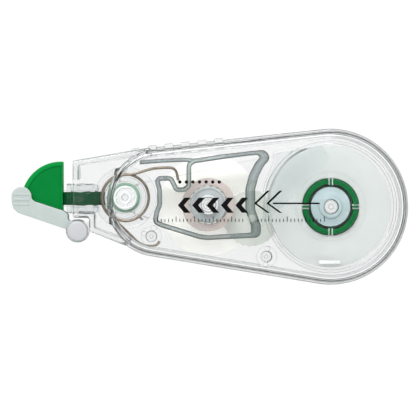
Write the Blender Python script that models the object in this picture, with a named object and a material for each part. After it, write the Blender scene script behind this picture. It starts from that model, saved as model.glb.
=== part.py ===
"""Correction tape roller that is held like a pen, lying on its back.

A clear case in two halves holds a supply reel of correction tape, an idler gear and a take-up reel
with a slipping clutch. The tape runs from the supply reel along a green head, round its tip and back
to the take-up reel. The head sits in a holder that tilts against a wire spring, and a guard swings
over the tip.

Frame: X runs along the roller, with the tip at -X. Y runs across it. Z runs through its thickness,
from the face that it rests on (Z = 0) to the front face. The origin is the middle of the footprint.

All dimensions below are millimetres and degrees. Each mesh is made in metres.
"""

import math

import bmesh
import bpy
from mathutils import Matrix, Vector

MM = 0.001
TURN = 360.0
SMOOTH_BELOW = math.radians(35.0)

# Gaps: between pieces that rest on each other, and round a pin that turns in a hole.
GAP = 0.3
RUNNING = 0.1

# Case: the outline is wrapped round a large circle at the reel and a smaller one at the grip.
THICKNESS = 16.0
REEL_CENTRE = (29.4, 0.0)
REEL_END_R = 19.1
GRIP_CENTRE = (-12.3, 1.15)
GRIP_END_R = 13.5
CASE_WALL = 1.3
CASE_SIDE_WALL = 1.1
CASE_EDGE_R = 1.6
CASE_INNER_EDGE_R = 1.0
PARTING_Z = 8.0
# The two halves meet in a thin lip that reaches the outline. The rest stands inside it.
LIP_Z = (7.1, 8.9)
LIP_REACH = 0.6
DIVIDER = [(21.4, 14.3), (15.6, 13.5), (15.2, 12.8), (15.4, 11.1), (13.2, 5.8), (12.6, 3.0)]
DIVIDER_WALL = 0.6

# Nose: the thinner front of the case, with a notch under it for the guard's ear.
NOSE_Z = (1.5, 14.5)
NOSE_WALL = 1.2
NOSE_FRONT_X = -33.5
NOSE_TOP_Y = 11.2
NOTCH = (-29.5, -2.7)
NOSE_HEEL = (-20.5, -9.55)
NOSE_CHIN_Y = -6.0
NOSE_TOP_DEG = 99.8
NOSE_INSIDE_CASE = ((-14.6, -6.0), (-13.0, 10.0))
MOUTH_Y = (-1.8, 6.6)

# Grip ribs on the top edge of the case.
RIB_COUNT = 6
RIB_FIRST_X = -18.25
RIB_STEP = 4.06
RIB_WIDTH = 2.1
RIB_HEIGHT = 0.45
RIB_ROOT = 0.9
RIB_Z = (4.0, 12.0)

# Pegs that hold the two halves of the case together.
PEG_CENTRES = ((-14.3, -7.2), (13.7, -12.1))
PEG_POST_R = 1.4
PEG_R = 0.5
PEG_TOP_Z = 10.4

# Posts in the back half, each with a step and a thinner tip, and the sockets that take them.
POST_TIP_R = 0.7
SUPPLY_POST_R = 1.6
SUPPLY_POST_Z = (12.0, 13.6)
SUPPLY_SOCKET_R = 1.84
SUPPLY_SOCKET_Z = (12.3, 13.9)
TAKEUP_POST_R = 1.2
TAKEUP_POST_Z = (11.2, 13.0)
TAKEUP_SOCKET_R = 1.9
TAKEUP_SOCKET_Z = (11.9, 13.4)
PIVOT_POST_R = 1.2
PIVOT_TIP_Z = 12.9

# Guard and its pin.
GUARD_PIVOT = (-32.4, -5.9)
EAR_R = 2.85
EAR_Z = (4.3, 11.7)
EAR_NECK = ((-31.0, -6.2), (-28.6, -3.6))
PIN_R = 1.05
KNOB_R = 2.43
GUARD_NOSE_CENTRE = (-46.05, 2.45)
GUARD_NOSE_R = 2.45
CHEEK_Z = ((3.0, 3.95), (12.05, 13.0))
KNOB_Z = (13.3, 14.2)
KNOB_BEVEL = 0.3
CAP_Z = (1.8, 2.7)
GUARD_WEB = 1.0

# Head, its stem and the tape that runs round it.
TAPE_Z = (5.9, 10.1)
TAPE_THICKNESS = 0.12
HEAD_ARC_CENTRE = (-36.44, 1.35)
HEAD_ARC_R = 9.68
HEAD_TIP = (-46.05, 2.45)
HEAD_HEEL = (-36.05, -0.9)
HEAD_Z = (4.3, 11.7)
FLANGE_THICKNESS = 0.8
HEAD_RIM_WIDTH = 1.0
HEAD_RIM_HEIGHT = 0.45
TIP_CENTRE = (-45.8, 2.45)
TIP_R = 0.25
STEM_Y = (0.4, 3.6)
STEM_Z = (5.5, 10.5)
STEM_BACK_X = -25.5
TAPE_OFFSET = 0.35

# Holder, the hub that it turns on and its spring.
PIVOT = (-20.7, 2.2)
SLEEVE_X = (-35.0, -27.4)
SLEEVE_Y = (-1.4, 5.4)
SLEEVE_Z = (4.2, 11.8)
SLEEVE_WALL = 1.0
CHANNEL_Z = (5.2, 10.8)
HOLDER_DISC_R = 7.6
HOLDER_DISC_Z = (10.75, 11.2)
HOLDER_RING_R = (3.9, 5.1)
HOLDER_RING_TOP_Z = 12.8
HUB_R = 2.85
HUB_RIM_R = 2.3
HUB_TUBE_R = 1.6
HUB_HOLE_R = 0.95
HUB_Z = (10.2, 14.4)
SPOKE_WIDTH = 0.8
PIVOT_RING_R = 3.7
PIVOT_RING_Z = (11.4, 12.9)
WIRE_R = 0.33
COIL_R = 5.7
COIL_Z = (11.65, 12.65)
COIL_START_DEG = 225.0
COIL_SWEEP_DEG = -495.0
COIL_STEPS = 34

# Inner frame.
FRAME_Z = (11.7, 14.4)
FRAME_WALL = 1.2
FRAME_TAIL_WALL = 1.0

# Gear train: module 0.5, with narrow teeth so that a little play is left.
MODULE = 0.5
SUPPLY_TEETH = 52
IDLER_TEETH = 26
TAKEUP_TEETH = 18
IDLER_CENTRE = (10.1, -2.79)
TAKEUP_CENTRE = (-0.4, 0.5)
IDLER_POST_R = 1.0
IDLER_FLANGE_R = 6.7
IDLER_FLANGE_Z = (4.75, 5.0)
IDLER_TOP_Z = 4.8
GEAR_Z = (3.2, 4.5)
TAKEUP_SLEEVE_TOP_Z = 7.6
TOOTH_ADDENDUM = 0.4
TOOTH_DEDENDUM = 0.55
TOOTH_ROOT_SHARE = 0.56
TOOTH_TIP_SHARE = 0.26

# Supply reel.
REEL_Z = (5.1, 10.9)
HUB_DISC_R = 4.9
CORE_R = (5.6, 6.75)
ROLL_R = (7.05, 14.8)
SUPPLY_FLANGE_R = 16.2
SUPPLY_FLANGE_Z = (10.6, 11.3)
HUB_STEP_R = (2.6, 2.9)
HUB_STEP = 0.6
SLOT_COUNT = 4
SLOT_WIDTH = 1.2
SLOT_FLOOR_Z = 9.9
CORE_RIB_WIDTH = 0.4

# Take-up reel.
TAKEUP_DISC_R = 12.2
TAKEUP_DISC_Z = (1.8, 2.5)
CLUTCH_R = (2.0, 2.9)
CLUTCH_Z = (5.3, 7.3)
TAKEUP_CORE_R = (3.2, 4.45)
TAKEUP_CORE_STEP_Z = 8.0
SPENT_ROLL_R = (4.75, 6.5)
TAKEUP_TOP_R = 2.4
TAKEUP_TOP_Z = 11.5

SIDES = 32
SMALL_SIDES = 16


def clear_scene():
    for old in list(bpy.data.objects):
        bpy.data.objects.remove(old, do_unlink=True)


# Outlines. Each is a list of (x, y) points that runs anticlockwise.


def polar(centre, radius, degrees):
    angle = math.radians(degrees)
    return (centre[0] + radius * math.cos(angle), centre[1] + radius * math.sin(angle))


def arc(centre, radius, start, end, steps):
    """Points along an arc, with both of its ends."""
    return [polar(centre, radius, start + (end - start) * i / steps) for i in range(steps + 1)]


def circle(centre, radius, sides=SIDES):
    return arc(centre, radius, 0.0, TURN, sides)[:-1]


def rectangle(low, high):
    return [(low[0], low[1]), (high[0], low[1]), (high[0], high[1]), (low[0], high[1])]


def unit(a, b):
    length = math.dist(a, b)
    return ((b[0] - a[0]) / length, (b[1] - a[1]) / length)


def corner_offset(before, point, after, distance):
    """The point moved to its left by a distance from both of the lines that meet there."""
    d0 = unit(before, point)
    d1 = unit(point, after)
    nx = -d0[1] - d1[1]
    ny = d0[0] + d1[0]
    scale = distance * 2.0 / (nx * nx + ny * ny)
    return (point[0] + nx * scale, point[1] + ny * scale)


def inset(outline, distance):
    """A closed outline moved inwards."""
    count = len(outline)
    return [
        corner_offset(outline[i - 1], outline[i], outline[(i + 1) % count], distance)
        for i in range(count)
    ]


def wall_loops(path, thickness, closed):
    """The outline of a wall along a path, and its hole where the path is closed."""
    half = thickness / 2.0
    if closed:
        return [inset(path, -half), inset(path, half)]
    ahead = unit(path[0], path[1])
    behind = unit(path[-2], path[-1])
    start = (path[0][0] - ahead[0], path[0][1] - ahead[1])
    end = (path[-1][0] + behind[0], path[-1][1] + behind[1])
    padded = [start, *path, end]
    sides = []
    for side in (-half, half):
        sides.append(
            [corner_offset(*padded[i - 1 : i + 2], side) for i in range(1, len(padded) - 1)]
        )
    return [sides[0] + sides[1][::-1]]


def tangent_normals(a, a_radius, b, b_radius):
    """Directions, in degrees, of the normals of the two lines that touch two circles outside."""
    base = math.degrees(math.atan2(b[1] - a[1], b[0] - a[0]))
    spread = math.degrees(math.acos((a_radius - b_radius) / math.dist(a, b)))
    return base + spread, base - spread


def case_outline(depth):
    """The outline of the thick part of the case, at a depth inside its lip."""
    upper, lower = tangent_normals(GRIP_CENTRE, GRIP_END_R, REEL_CENTRE, REEL_END_R)
    reel_end = arc(REEL_CENTRE, REEL_END_R - depth, lower, upper, 20)
    grip_end = arc(GRIP_CENTRE, GRIP_END_R - depth, upper, lower + TURN, 14)
    return reel_end + grip_end


def nose_outline():
    """The outline of the nose. Its last points lie inside the thick part of the case."""
    return [
        (NOSE_FRONT_X, NOSE_TOP_Y),
        (NOSE_FRONT_X, NOTCH[1]),
        NOTCH,
        (NOTCH[0], NOSE_CHIN_Y),
        NOSE_HEEL,
        *NOSE_INSIDE_CASE,
        polar(GRIP_CENTRE, GRIP_END_R, NOSE_TOP_DEG),
    ]


def head_outline(depth):
    """The fan-shaped outline of the head's flanges, at a depth inside its outer edge."""
    radius = HEAD_ARC_R - depth
    heel_x = HEAD_HEEL[0] - depth
    along = unit(HEAD_TIP, HEAD_HEEL)
    square = (-along[1], along[0])
    to_arc = (HEAD_ARC_CENTRE[0] - HEAD_TIP[0], HEAD_ARC_CENTRE[1] - HEAD_TIP[1])
    rise = to_arc[0] * square[0] + to_arc[1] * square[1] - depth
    foot = (HEAD_ARC_CENTRE[0] - rise * square[0], HEAD_ARC_CENTRE[1] - rise * square[1])
    half_chord = math.sqrt(radius * radius - rise * rise)
    tip = (foot[0] - along[0] * half_chord, foot[1] - along[1] * half_chord)
    heel = (heel_x, foot[1] + along[1] * (heel_x - foot[0]) / along[0])
    start = math.degrees(math.acos((heel_x - HEAD_ARC_CENTRE[0]) / radius))
    end = math.degrees(math.atan2(tip[1] - HEAD_ARC_CENTRE[1], tip[0] - HEAD_ARC_CENTRE[0]))
    return arc(HEAD_ARC_CENTRE, radius, start, end, 14) + [heel]


def wedge_outline():
    """The wedge between the head's flanges, which the tape runs round, and the stem behind it."""
    return [
        (STEM_BACK_X, STEM_Y[1]),
        (HEAD_HEEL[0], STEM_Y[1]),
        *arc(TIP_CENTRE, TIP_R, 95.0, 265.0, 4),
        (HEAD_HEEL[0], STEM_Y[0]),
        (STEM_BACK_X, STEM_Y[0]),
    ]


def cheek_outline():
    """The outline of the guard's two cheeks, from the top of its nose round to its arm."""
    return [
        *arc(GUARD_NOSE_CENTRE, GUARD_NOSE_R, -4.0, 180.0, 12),
        (-48.4, 0.8),
        (-47.9, -0.6),
        (-47.0, -1.5),
        *arc(GUARD_PIVOT, KNOB_R, 173.0, 460.0, 16),
        (-34.3, -3.5),
        (-34.75, -3.1),
        (-34.75, -2.1),
        (-35.1, -1.5),
        (-35.9, -0.95),
        (-42.8, 1.3),
        (-43.4, 1.8),
    ]


def guard_web_path():
    """The middle of the web that joins the cheeks. It leaves the top open for the head."""
    middle = GUARD_NOSE_R - GUARD_WEB / 2.0
    return [
        *arc(GUARD_NOSE_CENTRE, middle, 130.0, 180.0, 4),
        (-47.9, 0.9),
        (-47.45, -0.4),
        (-46.8, -1.05),
        (-36.1, -4.67),
    ]


def tape_path():
    """The middle of the tape, from the supply roll round the tip to the take-up roll."""
    clear = GAP + TAPE_THICKNESS / 2.0
    top_y = STEM_Y[1] + TAPE_OFFSET
    low_y = STEM_Y[0] - TAPE_OFFSET
    leave = touch_point((STEM_BACK_X, top_y), REEL_CENTRE, ROLL_R[1] + clear, 1.0)
    arrive = touch_point((STEM_BACK_X, low_y), TAKEUP_CENTRE, SPENT_ROLL_R[1] + clear, -1.0)
    return [
        leave,
        (STEM_BACK_X, top_y),
        (HEAD_HEEL[0], top_y),
        *arc(TIP_CENTRE, TIP_R + TAPE_OFFSET, 95.0, 265.0, 6),
        (HEAD_HEEL[0], low_y),
        (STEM_BACK_X, low_y),
        arrive,
    ]


def touch_point(start, centre, radius, side):
    """Where a line from start touches a circle, on its upper (1) or lower (-1) side."""
    towards = math.degrees(math.atan2(centre[1] - start[1], centre[0] - start[0]))
    half = math.degrees(math.asin(radius / math.dist(start, centre)))
    return polar(centre, radius, towards + side * (half + 90.0))


def gear_outline(centre, teeth, phase):
    """A gear's outline, with the middle of one tooth at the phase angle in degrees."""
    pitch_r = MODULE * teeth / 2.0
    step = TURN / teeth
    outline = []
    for i in range(teeth):
        middle = phase + i * step
        for radius, share in (
            (pitch_r - TOOTH_DEDENDUM, -TOOTH_ROOT_SHARE),
            (pitch_r + TOOTH_ADDENDUM, -TOOTH_TIP_SHARE),
            (pitch_r + TOOTH_ADDENDUM, TOOTH_TIP_SHARE),
            (pitch_r - TOOTH_DEDENDUM, TOOTH_ROOT_SHARE),
        ):
            outline.append(polar(centre, radius, middle + share * step / 2.0))
    return outline


def meshed_phase(phase, teeth, centre, next_teeth, next_centre):
    """The phase that puts a gap of the next gear where this gear's tooth meets it."""
    direction = math.degrees(math.atan2(next_centre[1] - centre[1], next_centre[0] - centre[0]))
    lead = phase - direction
    gap = direction + 180.0 - lead * teeth / next_teeth
    return gap + 180.0 / next_teeth


# Solids.


def new_object(name, bm):
    bmesh.ops.recalc_face_normals(bm, faces=bm.faces)
    mesh = bpy.data.meshes.new(name)
    bm.to_mesh(mesh)
    bm.free()
    obj = bpy.data.objects.new(name, mesh)
    bpy.context.scene.collection.objects.link(obj)
    return obj


def add_loop(bm, outline, z):
    return [bm.verts.new((x * MM, y * MM, z * MM)) for x, y in outline]


def add_side(bm, low, high):
    count = len(low)
    for i in range(count):
        j = (i + 1) % count
        bm.faces.new((low[i], low[j], high[j], high[i]))


def loop_edges(bm, verts):
    return [bm.edges.new(pair) for pair in zip(verts, verts[1:] + verts[:1])]


def prism(name, loops, z_range):
    """A solid between two heights. The first loop is its outline, and the others are holes."""
    bm = bmesh.new()
    ends = []
    for z in z_range:
        rows = [add_loop(bm, loop, z) for loop in loops]
        edges = [edge for row in rows for edge in loop_edges(bm, row)]
        bmesh.ops.triangle_fill(bm, use_beauty=True, edges=edges)
        ends.append(rows)
    for low, high in zip(*ends):
        add_side(bm, low, high)
    return new_object(name, bm)


def loft(name, rows):
    """A solid through (outline, z) rows that all have the same number of points."""
    bm = bmesh.new()
    rings = [add_loop(bm, outline, z) for outline, z in rows]
    for low, high in zip(rings, rings[1:]):
        add_side(bm, low, high)
    bm.faces.new(rings[0][::-1])
    bm.faces.new(rings[-1])
    return new_object(name, bm)


def lathe(name, centre, profile, sides=SIDES):
    """A turned solid. The profile is a closed list of (radius, z), and radius 0 is on the axis."""
    bm = bmesh.new()
    rings = []
    for radius, z in profile:
        if radius == 0.0:
            rings.append([bm.verts.new((centre[0] * MM, centre[1] * MM, z * MM))] * sides)
        else:
            rings.append(add_loop(bm, circle(centre, radius, sides), z))
    for low, high in zip(rings, rings[1:] + rings[:1]):
        for i in range(sides):
            j = (i + 1) % sides
            corners = list(dict.fromkeys((low[i], low[j], high[j], high[i])))
            if len(corners) > 2:
                bm.faces.new(corners)
    return new_object(name, bm)


def rod(name, centre, radius, z_range, sides=SMALL_SIDES):
    return prism(name, [circle(centre, radius, sides)], z_range)


def tube(name, path, radius, sides=8):
    """A round wire along a path of (x, y, z) points, with flat ends."""
    points = [Vector(point) for point in path]
    bm = bmesh.new()
    side = Vector((0.0, 0.0, 1.0))
    rings = []
    for i, point in enumerate(points):
        ahead = points[min(i + 1, len(points) - 1)] - points[max(i - 1, 0)]
        side = (side - ahead * (side.dot(ahead) / ahead.dot(ahead))).normalized()
        across = ahead.normalized().cross(side)
        ring = []
        for k in range(sides):
            angle = math.tau * k / sides
            where = point + (side * math.cos(angle) + across * math.sin(angle)) * radius
            ring.append(bm.verts.new(where * MM))
        rings.append(ring)
    for low, high in zip(rings, rings[1:]):
        add_side(bm, low, high)
    bm.faces.new(rings[0][::-1])
    bm.faces.new(rings[-1])
    return new_object(name, bm)


def combine(target, others, operation):
    """Joins the others to the target, or cuts them from it, and removes them."""
    for other in others:
        modifier = target.modifiers.new(operation, "BOOLEAN")
        modifier.operation = operation
        modifier.solver = "EXACT"
        modifier.object = other
        bpy.context.view_layer.update()
        graph = bpy.context.evaluated_depsgraph_get()
        result = bpy.data.meshes.new_from_object(target.evaluated_get(graph))
        target.modifiers.clear()
        target.data = result
        bpy.data.objects.remove(other, do_unlink=True)
    return target


def join(target, *others):
    return combine(target, others, "UNION")


def cut(target, *others):
    return combine(target, others, "DIFFERENCE")


def rounded_rows(outline_at, z_range, depth, edge_r, steps):
    """Rows of a loft with rounded edges at both ends."""
    low, high = z_range
    rows = []
    for i in range(steps + 1):
        angle = math.radians(90.0 * i / steps)
        outline = outline_at(depth + edge_r * (1.0 - math.sin(angle)))
        rise = edge_r * (1.0 - math.cos(angle))
        rows.append((outline, rise))
    return [(o, low + r) for o, r in rows] + [(o, high - r) for o, r in rows[::-1]]


# Case halves.


def grip_ribs():
    """Ribs across the top edge, square to the outline under each of them."""
    upper, _ = tangent_normals(GRIP_CENTRE, GRIP_END_R, REEL_CENTRE, REEL_END_R)
    ribs = []
    for i in range(RIB_COUNT):
        x = RIB_FIRST_X + RIB_STEP * i
        lean = NOSE_TOP_DEG if i == 0 else upper
        foot = polar(GRIP_CENTRE, GRIP_END_R, lean)
        normal = (math.cos(math.radians(lean)), math.sin(math.radians(lean)))
        along = (-normal[1], normal[0])
        reach = (x - foot[0]) / along[0]
        y = foot[1] + along[1] * reach
        corners = []
        heights = (-RIB_ROOT, RIB_HEIGHT, RIB_HEIGHT, -RIB_ROOT)
        for sign, height in zip((-1, -1, 1, 1), heights):
            side = sign * RIB_WIDTH / 2.0
            corners.append(
                (x + along[0] * side + normal[0] * height, y + along[1] * side + normal[1] * height)
            )
        ribs.append(prism("rib", [corners], RIB_Z))
    return ribs


def whole_case():
    """The case before it is parted: walls, nose, mouth, grip ribs and the ear for the guard."""
    case_z = (0.0, THICKNESS)
    case = loft("case", rounded_rows(case_outline, case_z, LIP_REACH, CASE_EDGE_R, 3))
    lip = prism("lip", [case_outline(0.0)], LIP_Z)
    nose = prism("nose", [nose_outline()], NOSE_Z)
    ear = rod("ear", GUARD_PIVOT, EAR_R, EAR_Z, SIDES)
    neck = prism("neck", [rectangle(*EAR_NECK)], EAR_Z)
    join(case, lip, nose, ear, neck, *grip_ribs())

    inner_z = (CASE_WALL, THICKNESS - CASE_WALL)
    depth = LIP_REACH + CASE_SIDE_WALL
    hollow = loft("hollow", rounded_rows(case_outline, inner_z, depth, CASE_INNER_EDGE_R, 2))
    nose_inner_z = (NOSE_Z[0] + NOSE_WALL, NOSE_Z[1] - NOSE_WALL)
    nose_hollow = prism("nose_hollow", [inset(nose_outline(), NOSE_WALL)], nose_inner_z)
    mouth_low = (NOSE_FRONT_X - 1.0, MOUTH_Y[0])
    mouth_high = (NOSE_FRONT_X + NOSE_WALL + GAP, MOUTH_Y[1])
    mouth = prism("mouth", [rectangle(mouth_low, mouth_high)], nose_inner_z)
    bore = rod("bore", GUARD_PIVOT, PIN_R + RUNNING, (EAR_Z[0] - 1.0, EAR_Z[1] + 1.0))
    return cut(case, hollow, nose_hollow, mouth, bore)


def half_space(z_range):
    return prism("half", [rectangle((-60.0, -30.0), (60.0, 30.0))], z_range)


def post(centre, radius, top, tip_radius, tip_top):
    """A post that stands in the floor of the case, with a thinner tip."""
    foot = CASE_WALL / 2.0
    profile = [(0.0, foot), (radius, foot), (radius, top), (tip_radius, top), (tip_radius, tip_top)]
    return lathe("post", centre, [*profile, (0.0, tip_top)], SMALL_SIDES)


def socket(centre, radius, hole_radius, bottom, hole_top):
    """A boss that hangs from the ceiling of the case, with a blind hole in its end."""
    roof = THICKNESS - CASE_WALL / 2.0
    profile = [(0.0, hole_top), (hole_radius, hole_top), (hole_radius, bottom), (radius, bottom)]
    return lathe("socket", centre, [*profile, (radius, roof), (0.0, roof)], SMALL_SIDES)


def make_back_shell():
    shell = cut(whole_case(), half_space((PARTING_Z - GAP / 2.0, THICKNESS + 4.0)))
    shell.name = "back_shell"
    join(
        shell,
        post(REEL_CENTRE, SUPPLY_POST_R, SUPPLY_POST_Z[0], POST_TIP_R, SUPPLY_POST_Z[1]),
        post(TAKEUP_CENTRE, TAKEUP_POST_R, TAKEUP_POST_Z[0], POST_TIP_R, TAKEUP_POST_Z[1]),
        post(PIVOT, PIVOT_POST_R, HUB_Z[0] - GAP, HUB_HOLE_R - RUNNING, PIVOT_TIP_Z),
    )
    for centre in PEG_CENTRES:
        join(shell, post(centre, PEG_POST_R, PARTING_Z - GAP / 2.0, PEG_R, PEG_TOP_Z))
    return shell


def make_front_shell():
    shell = cut(whole_case(), half_space((-4.0, PARTING_Z + GAP / 2.0)))
    shell.name = "front_shell"
    join(
        shell,
        socket(REEL_CENTRE, SUPPLY_SOCKET_R, POST_TIP_R + GAP, *SUPPLY_SOCKET_Z),
        socket(TAKEUP_CENTRE, TAKEUP_SOCKET_R, POST_TIP_R + GAP, *TAKEUP_SOCKET_Z),
    )
    for centre in PEG_CENTRES:
        hole_r = PEG_R + GAP
        join(shell, socket(centre, PEG_POST_R, hole_r, PARTING_Z + GAP / 2.0, PEG_TOP_Z + GAP))
    divider_z = (FRAME_Z[0], THICKNESS - CASE_WALL / 2.0)
    return join(shell, prism("divider", wall_loops(DIVIDER, DIVIDER_WALL, False), divider_z))


# Guard.


def make_guard_arm():
    hole = circle(GUARD_PIVOT, PIN_R + RUNNING, SMALL_SIDES)
    back, front = (prism("guard_arm", [cheek_outline(), hole], z) for z in CHEEK_Z)
    web_z = (CHEEK_Z[0][0] + 0.5, CHEEK_Z[1][1] - 0.5)
    web = prism("web", wall_loops(guard_web_path(), GUARD_WEB, False), web_z)
    return join(back, web, front)


def make_guard_pin():
    """The knob on the front and the pin under it, in one piece."""
    low = CAP_Z[0] + GAP
    profile = [
        (0.0, low),
        (PIN_R, low),
        (PIN_R, KNOB_Z[0]),
        (KNOB_R, KNOB_Z[0]),
        (KNOB_R, KNOB_Z[1] - KNOB_BEVEL),
        (KNOB_R - KNOB_BEVEL, KNOB_Z[1]),
        (0.0, KNOB_Z[1]),
    ]
    return lathe("guard_pin", GUARD_PIVOT, profile, 24)


def make_guard_pin_cap():
    """The cap on the pin's back end: a ring pressed over the pin."""
    loops = [circle(GUARD_PIVOT, KNOB_R, 24), circle(GUARD_PIVOT, PIN_R + RUNNING, 24)]
    return prism("guard_pin_cap", loops, CAP_Z)


# Head and holder.


def make_transfer_head():
    """Two fan-shaped flanges with raised rims, the wedge between them, and the stem."""
    head = prism("transfer_head", [wedge_outline()], STEM_Z)
    reach = HEAD_RIM_HEIGHT + FLANGE_THICKNESS
    flange_z = (HEAD_Z[0], HEAD_Z[0] + reach), (HEAD_Z[1] - reach, HEAD_Z[1])
    recess_z = (
        (HEAD_Z[0] - 1.0, HEAD_Z[0] + HEAD_RIM_HEIGHT),
        (HEAD_Z[1] - HEAD_RIM_HEIGHT, HEAD_Z[1] + 1.0),
    )
    for flange_range, recess_range in zip(flange_z, recess_z):
        flange = prism("flange", [head_outline(0.0)], flange_range)
        recess = prism("recess", [head_outline(HEAD_RIM_WIDTH)], recess_range)
        join(head, cut(flange, recess))
    return head


def make_head_holder():
    """The sleeve that the stem slides into, and the disc and ring that turn on the hub."""
    low = (SLEEVE_X[0], SLEEVE_Y[0])
    high = (SLEEVE_X[1], SLEEVE_Y[1])
    holder = prism("head_holder", [rectangle(low, high)], SLEEVE_Z)
    wall = SLEEVE_WALL
    channel_low = (SLEEVE_X[0] - 1.0, SLEEVE_Y[0] + wall)
    channel_high = (SLEEVE_X[1] + 1.0, SLEEVE_Y[1] - wall)
    channel = prism("channel", [rectangle(channel_low, channel_high)], CHANNEL_Z)
    cut(holder, channel)

    disc = prism("disc", [circle(PIVOT, HOLDER_DISC_R)], HOLDER_DISC_Z)
    tongue_low = (SLEEVE_X[1] - 0.4, SLEEVE_Y[0])
    tongue_high = (PIVOT[0] - 5.0, SLEEVE_Y[1])
    tongue = prism("tongue", [rectangle(tongue_low, tongue_high)], HOLDER_DISC_Z)
    inner, outer = HOLDER_RING_R
    ring_z = (HOLDER_DISC_Z[0] + 0.2, HOLDER_RING_TOP_Z)
    ring = prism("ring", [circle(PIVOT, outer), circle(PIVOT, inner)], ring_z)
    eye = rod("eye", PIVOT, HUB_R + GAP, (HOLDER_DISC_Z[0] - 1.0, HOLDER_DISC_Z[1] + 1.0), SIDES)
    join(holder, tongue, disc)
    return join(cut(holder, eye), ring)


def make_pivot_hub():
    """A hub with a tube, a rim and three spokes between them."""
    hub = prism("pivot_hub", [circle(PIVOT, HUB_R), circle(PIVOT, HUB_RIM_R)], HUB_Z)
    tube_z = (HUB_Z[0], HUB_Z[1] - 0.2)
    hole = circle(PIVOT, HUB_HOLE_R, SMALL_SIDES)
    middle = prism("middle", [circle(PIVOT, HUB_TUBE_R, SMALL_SIDES), hole], tube_z)
    spokes = []
    spoke_z = (HUB_Z[0] + 0.1, HUB_Z[1] - 0.4)
    for degrees in (0.0, 180.0, 270.0):
        inner = polar(PIVOT, HUB_TUBE_R - 0.3, degrees)
        outer = polar(PIVOT, HUB_RIM_R + 0.2, degrees)
        spokes.append(prism("spoke", wall_loops([inner, outer], SPOKE_WIDTH, False), spoke_z))
    join(hub, spokes[0], middle, *spokes[1:])
    return hub


def make_pivot_ring():
    inner = HUB_R + RUNNING
    return prism("pivot_ring", [circle(PIVOT, PIVOT_RING_R), circle(PIVOT, inner)], PIVOT_RING_Z)


def make_head_return_spring():
    """A wire spring: a leg to the peg at the bottom, the coil, and a leg hooked in the frame."""
    low, high = COIL_Z
    lower_leg = [(-12.3, -8.4), (-13.2, -9.3), (-15.0, -9.5), (-17.3, -8.9), (-20.1, -6.3)]
    upper_leg = [(-18.4, 8.05), (-13.9, 9.3), (-10.0, 9.5), (-8.9, 9.2), (-8.2, 8.3), (-7.8, 6.4)]
    coil = []
    for i in range(COIL_STEPS + 1):
        share = i / COIL_STEPS
        x, y = polar(PIVOT, COIL_R, COIL_START_DEG + COIL_SWEEP_DEG * share)
        coil.append((x, y, low + (high - low) * share))
    path = [(x, y, low) for x, y in lower_leg] + coil + [(x, y, high) for x, y in upper_leg]
    return tube("head_return_spring", path, WIRE_R)


def make_tape_ribbon():
    loops = wall_loops(tape_path(), TAPE_THICKNESS, False)
    return prism("tape_ribbon", loops, TAPE_Z)


# Inner frame and gear train.


def make_inner_frame():
    """The wall that parts the take-up chamber from the rest, with the post for the idler."""
    wall = [
        (-13.1, 6.9),
        (-12.3, 4.1),
        (-12.3, 0.4),
        (-13.0, -1.3),
        (-13.4, -3.7),
        (-11.6, -4.5),
        (-2.5, -7.3),
        (-0.6, -7.5),
        (11.8, -6.9),
        (11.7, -4.5),
        (10.35, -0.8),
        (10.35, 4.3),
        (11.2, 7.6),
        (12.6, 10.3),
        (14.0, 11.9),
        (13.0, 13.2),
        (9.7, 12.9),
        (2.7, 12.1),
        (-4.0, 11.1),
        (-5.2, 10.2),
        (-5.2, 5.0),
        (-6.4, 4.1),
        (-8.2, 4.1),
        (-9.6, 6.9),
    ]
    frame = prism("inner_frame", wall_loops(wall, FRAME_WALL, True), FRAME_Z)
    tail = [(-3.4, 11.2), (-6.9, 11.4), (-11.6, 11.2), (-17.2, 10.8)]
    tail_z = (FRAME_Z[0] + 0.2, FRAME_Z[1] - 0.2)
    idler_post = rod("idler_post", IDLER_CENTRE, IDLER_POST_R, (GEAR_Z[0] - 0.2, tail_z[1]))
    return join(frame, prism("tail", wall_loops(tail, FRAME_TAIL_WALL, False), tail_z), idler_post)


def gear_phases():
    """Phases of the supply, idler and take-up gears, so that they are in mesh."""
    supply = 0.0
    idler = meshed_phase(supply, SUPPLY_TEETH, REEL_CENTRE, IDLER_TEETH, IDLER_CENTRE)
    takeup = meshed_phase(idler, IDLER_TEETH, IDLER_CENTRE, TAKEUP_TEETH, TAKEUP_CENTRE)
    return supply, idler, takeup


def make_gear(name, centre, teeth, phase, bore_r, top_z=GEAR_Z[1]):
    loops = [gear_outline(centre, teeth, phase), circle(centre, bore_r, SMALL_SIDES)]
    return prism(name, loops, (GEAR_Z[0], top_z))


def make_gears():
    supply_phase, idler_phase, takeup_phase = gear_phases()
    make_gear("supply_gear", REEL_CENTRE, SUPPLY_TEETH, supply_phase, SUPPLY_POST_R + RUNNING)
    bore_r = IDLER_POST_R + RUNNING
    idler = make_gear("idler_gear", IDLER_CENTRE, IDLER_TEETH, idler_phase, bore_r, IDLER_TOP_Z)
    flange = [circle(IDLER_CENTRE, IDLER_FLANGE_R, 48), circle(IDLER_CENTRE, bore_r, SMALL_SIDES)]
    join(idler, prism("flange", flange, IDLER_FLANGE_Z))
    bore_r = TAKEUP_POST_R + RUNNING
    takeup = make_gear("takeup_gear", TAKEUP_CENTRE, TAKEUP_TEETH, takeup_phase, bore_r)
    outer = circle(TAKEUP_CENTRE, CLUTCH_R[0] - RUNNING, SMALL_SIDES)
    inner = circle(TAKEUP_CENTRE, bore_r, SMALL_SIDES)
    join(takeup, prism("sleeve", [outer, inner], (GEAR_Z[1] - 0.5, TAKEUP_SLEEVE_TOP_Z)))


# Supply reel.


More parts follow.
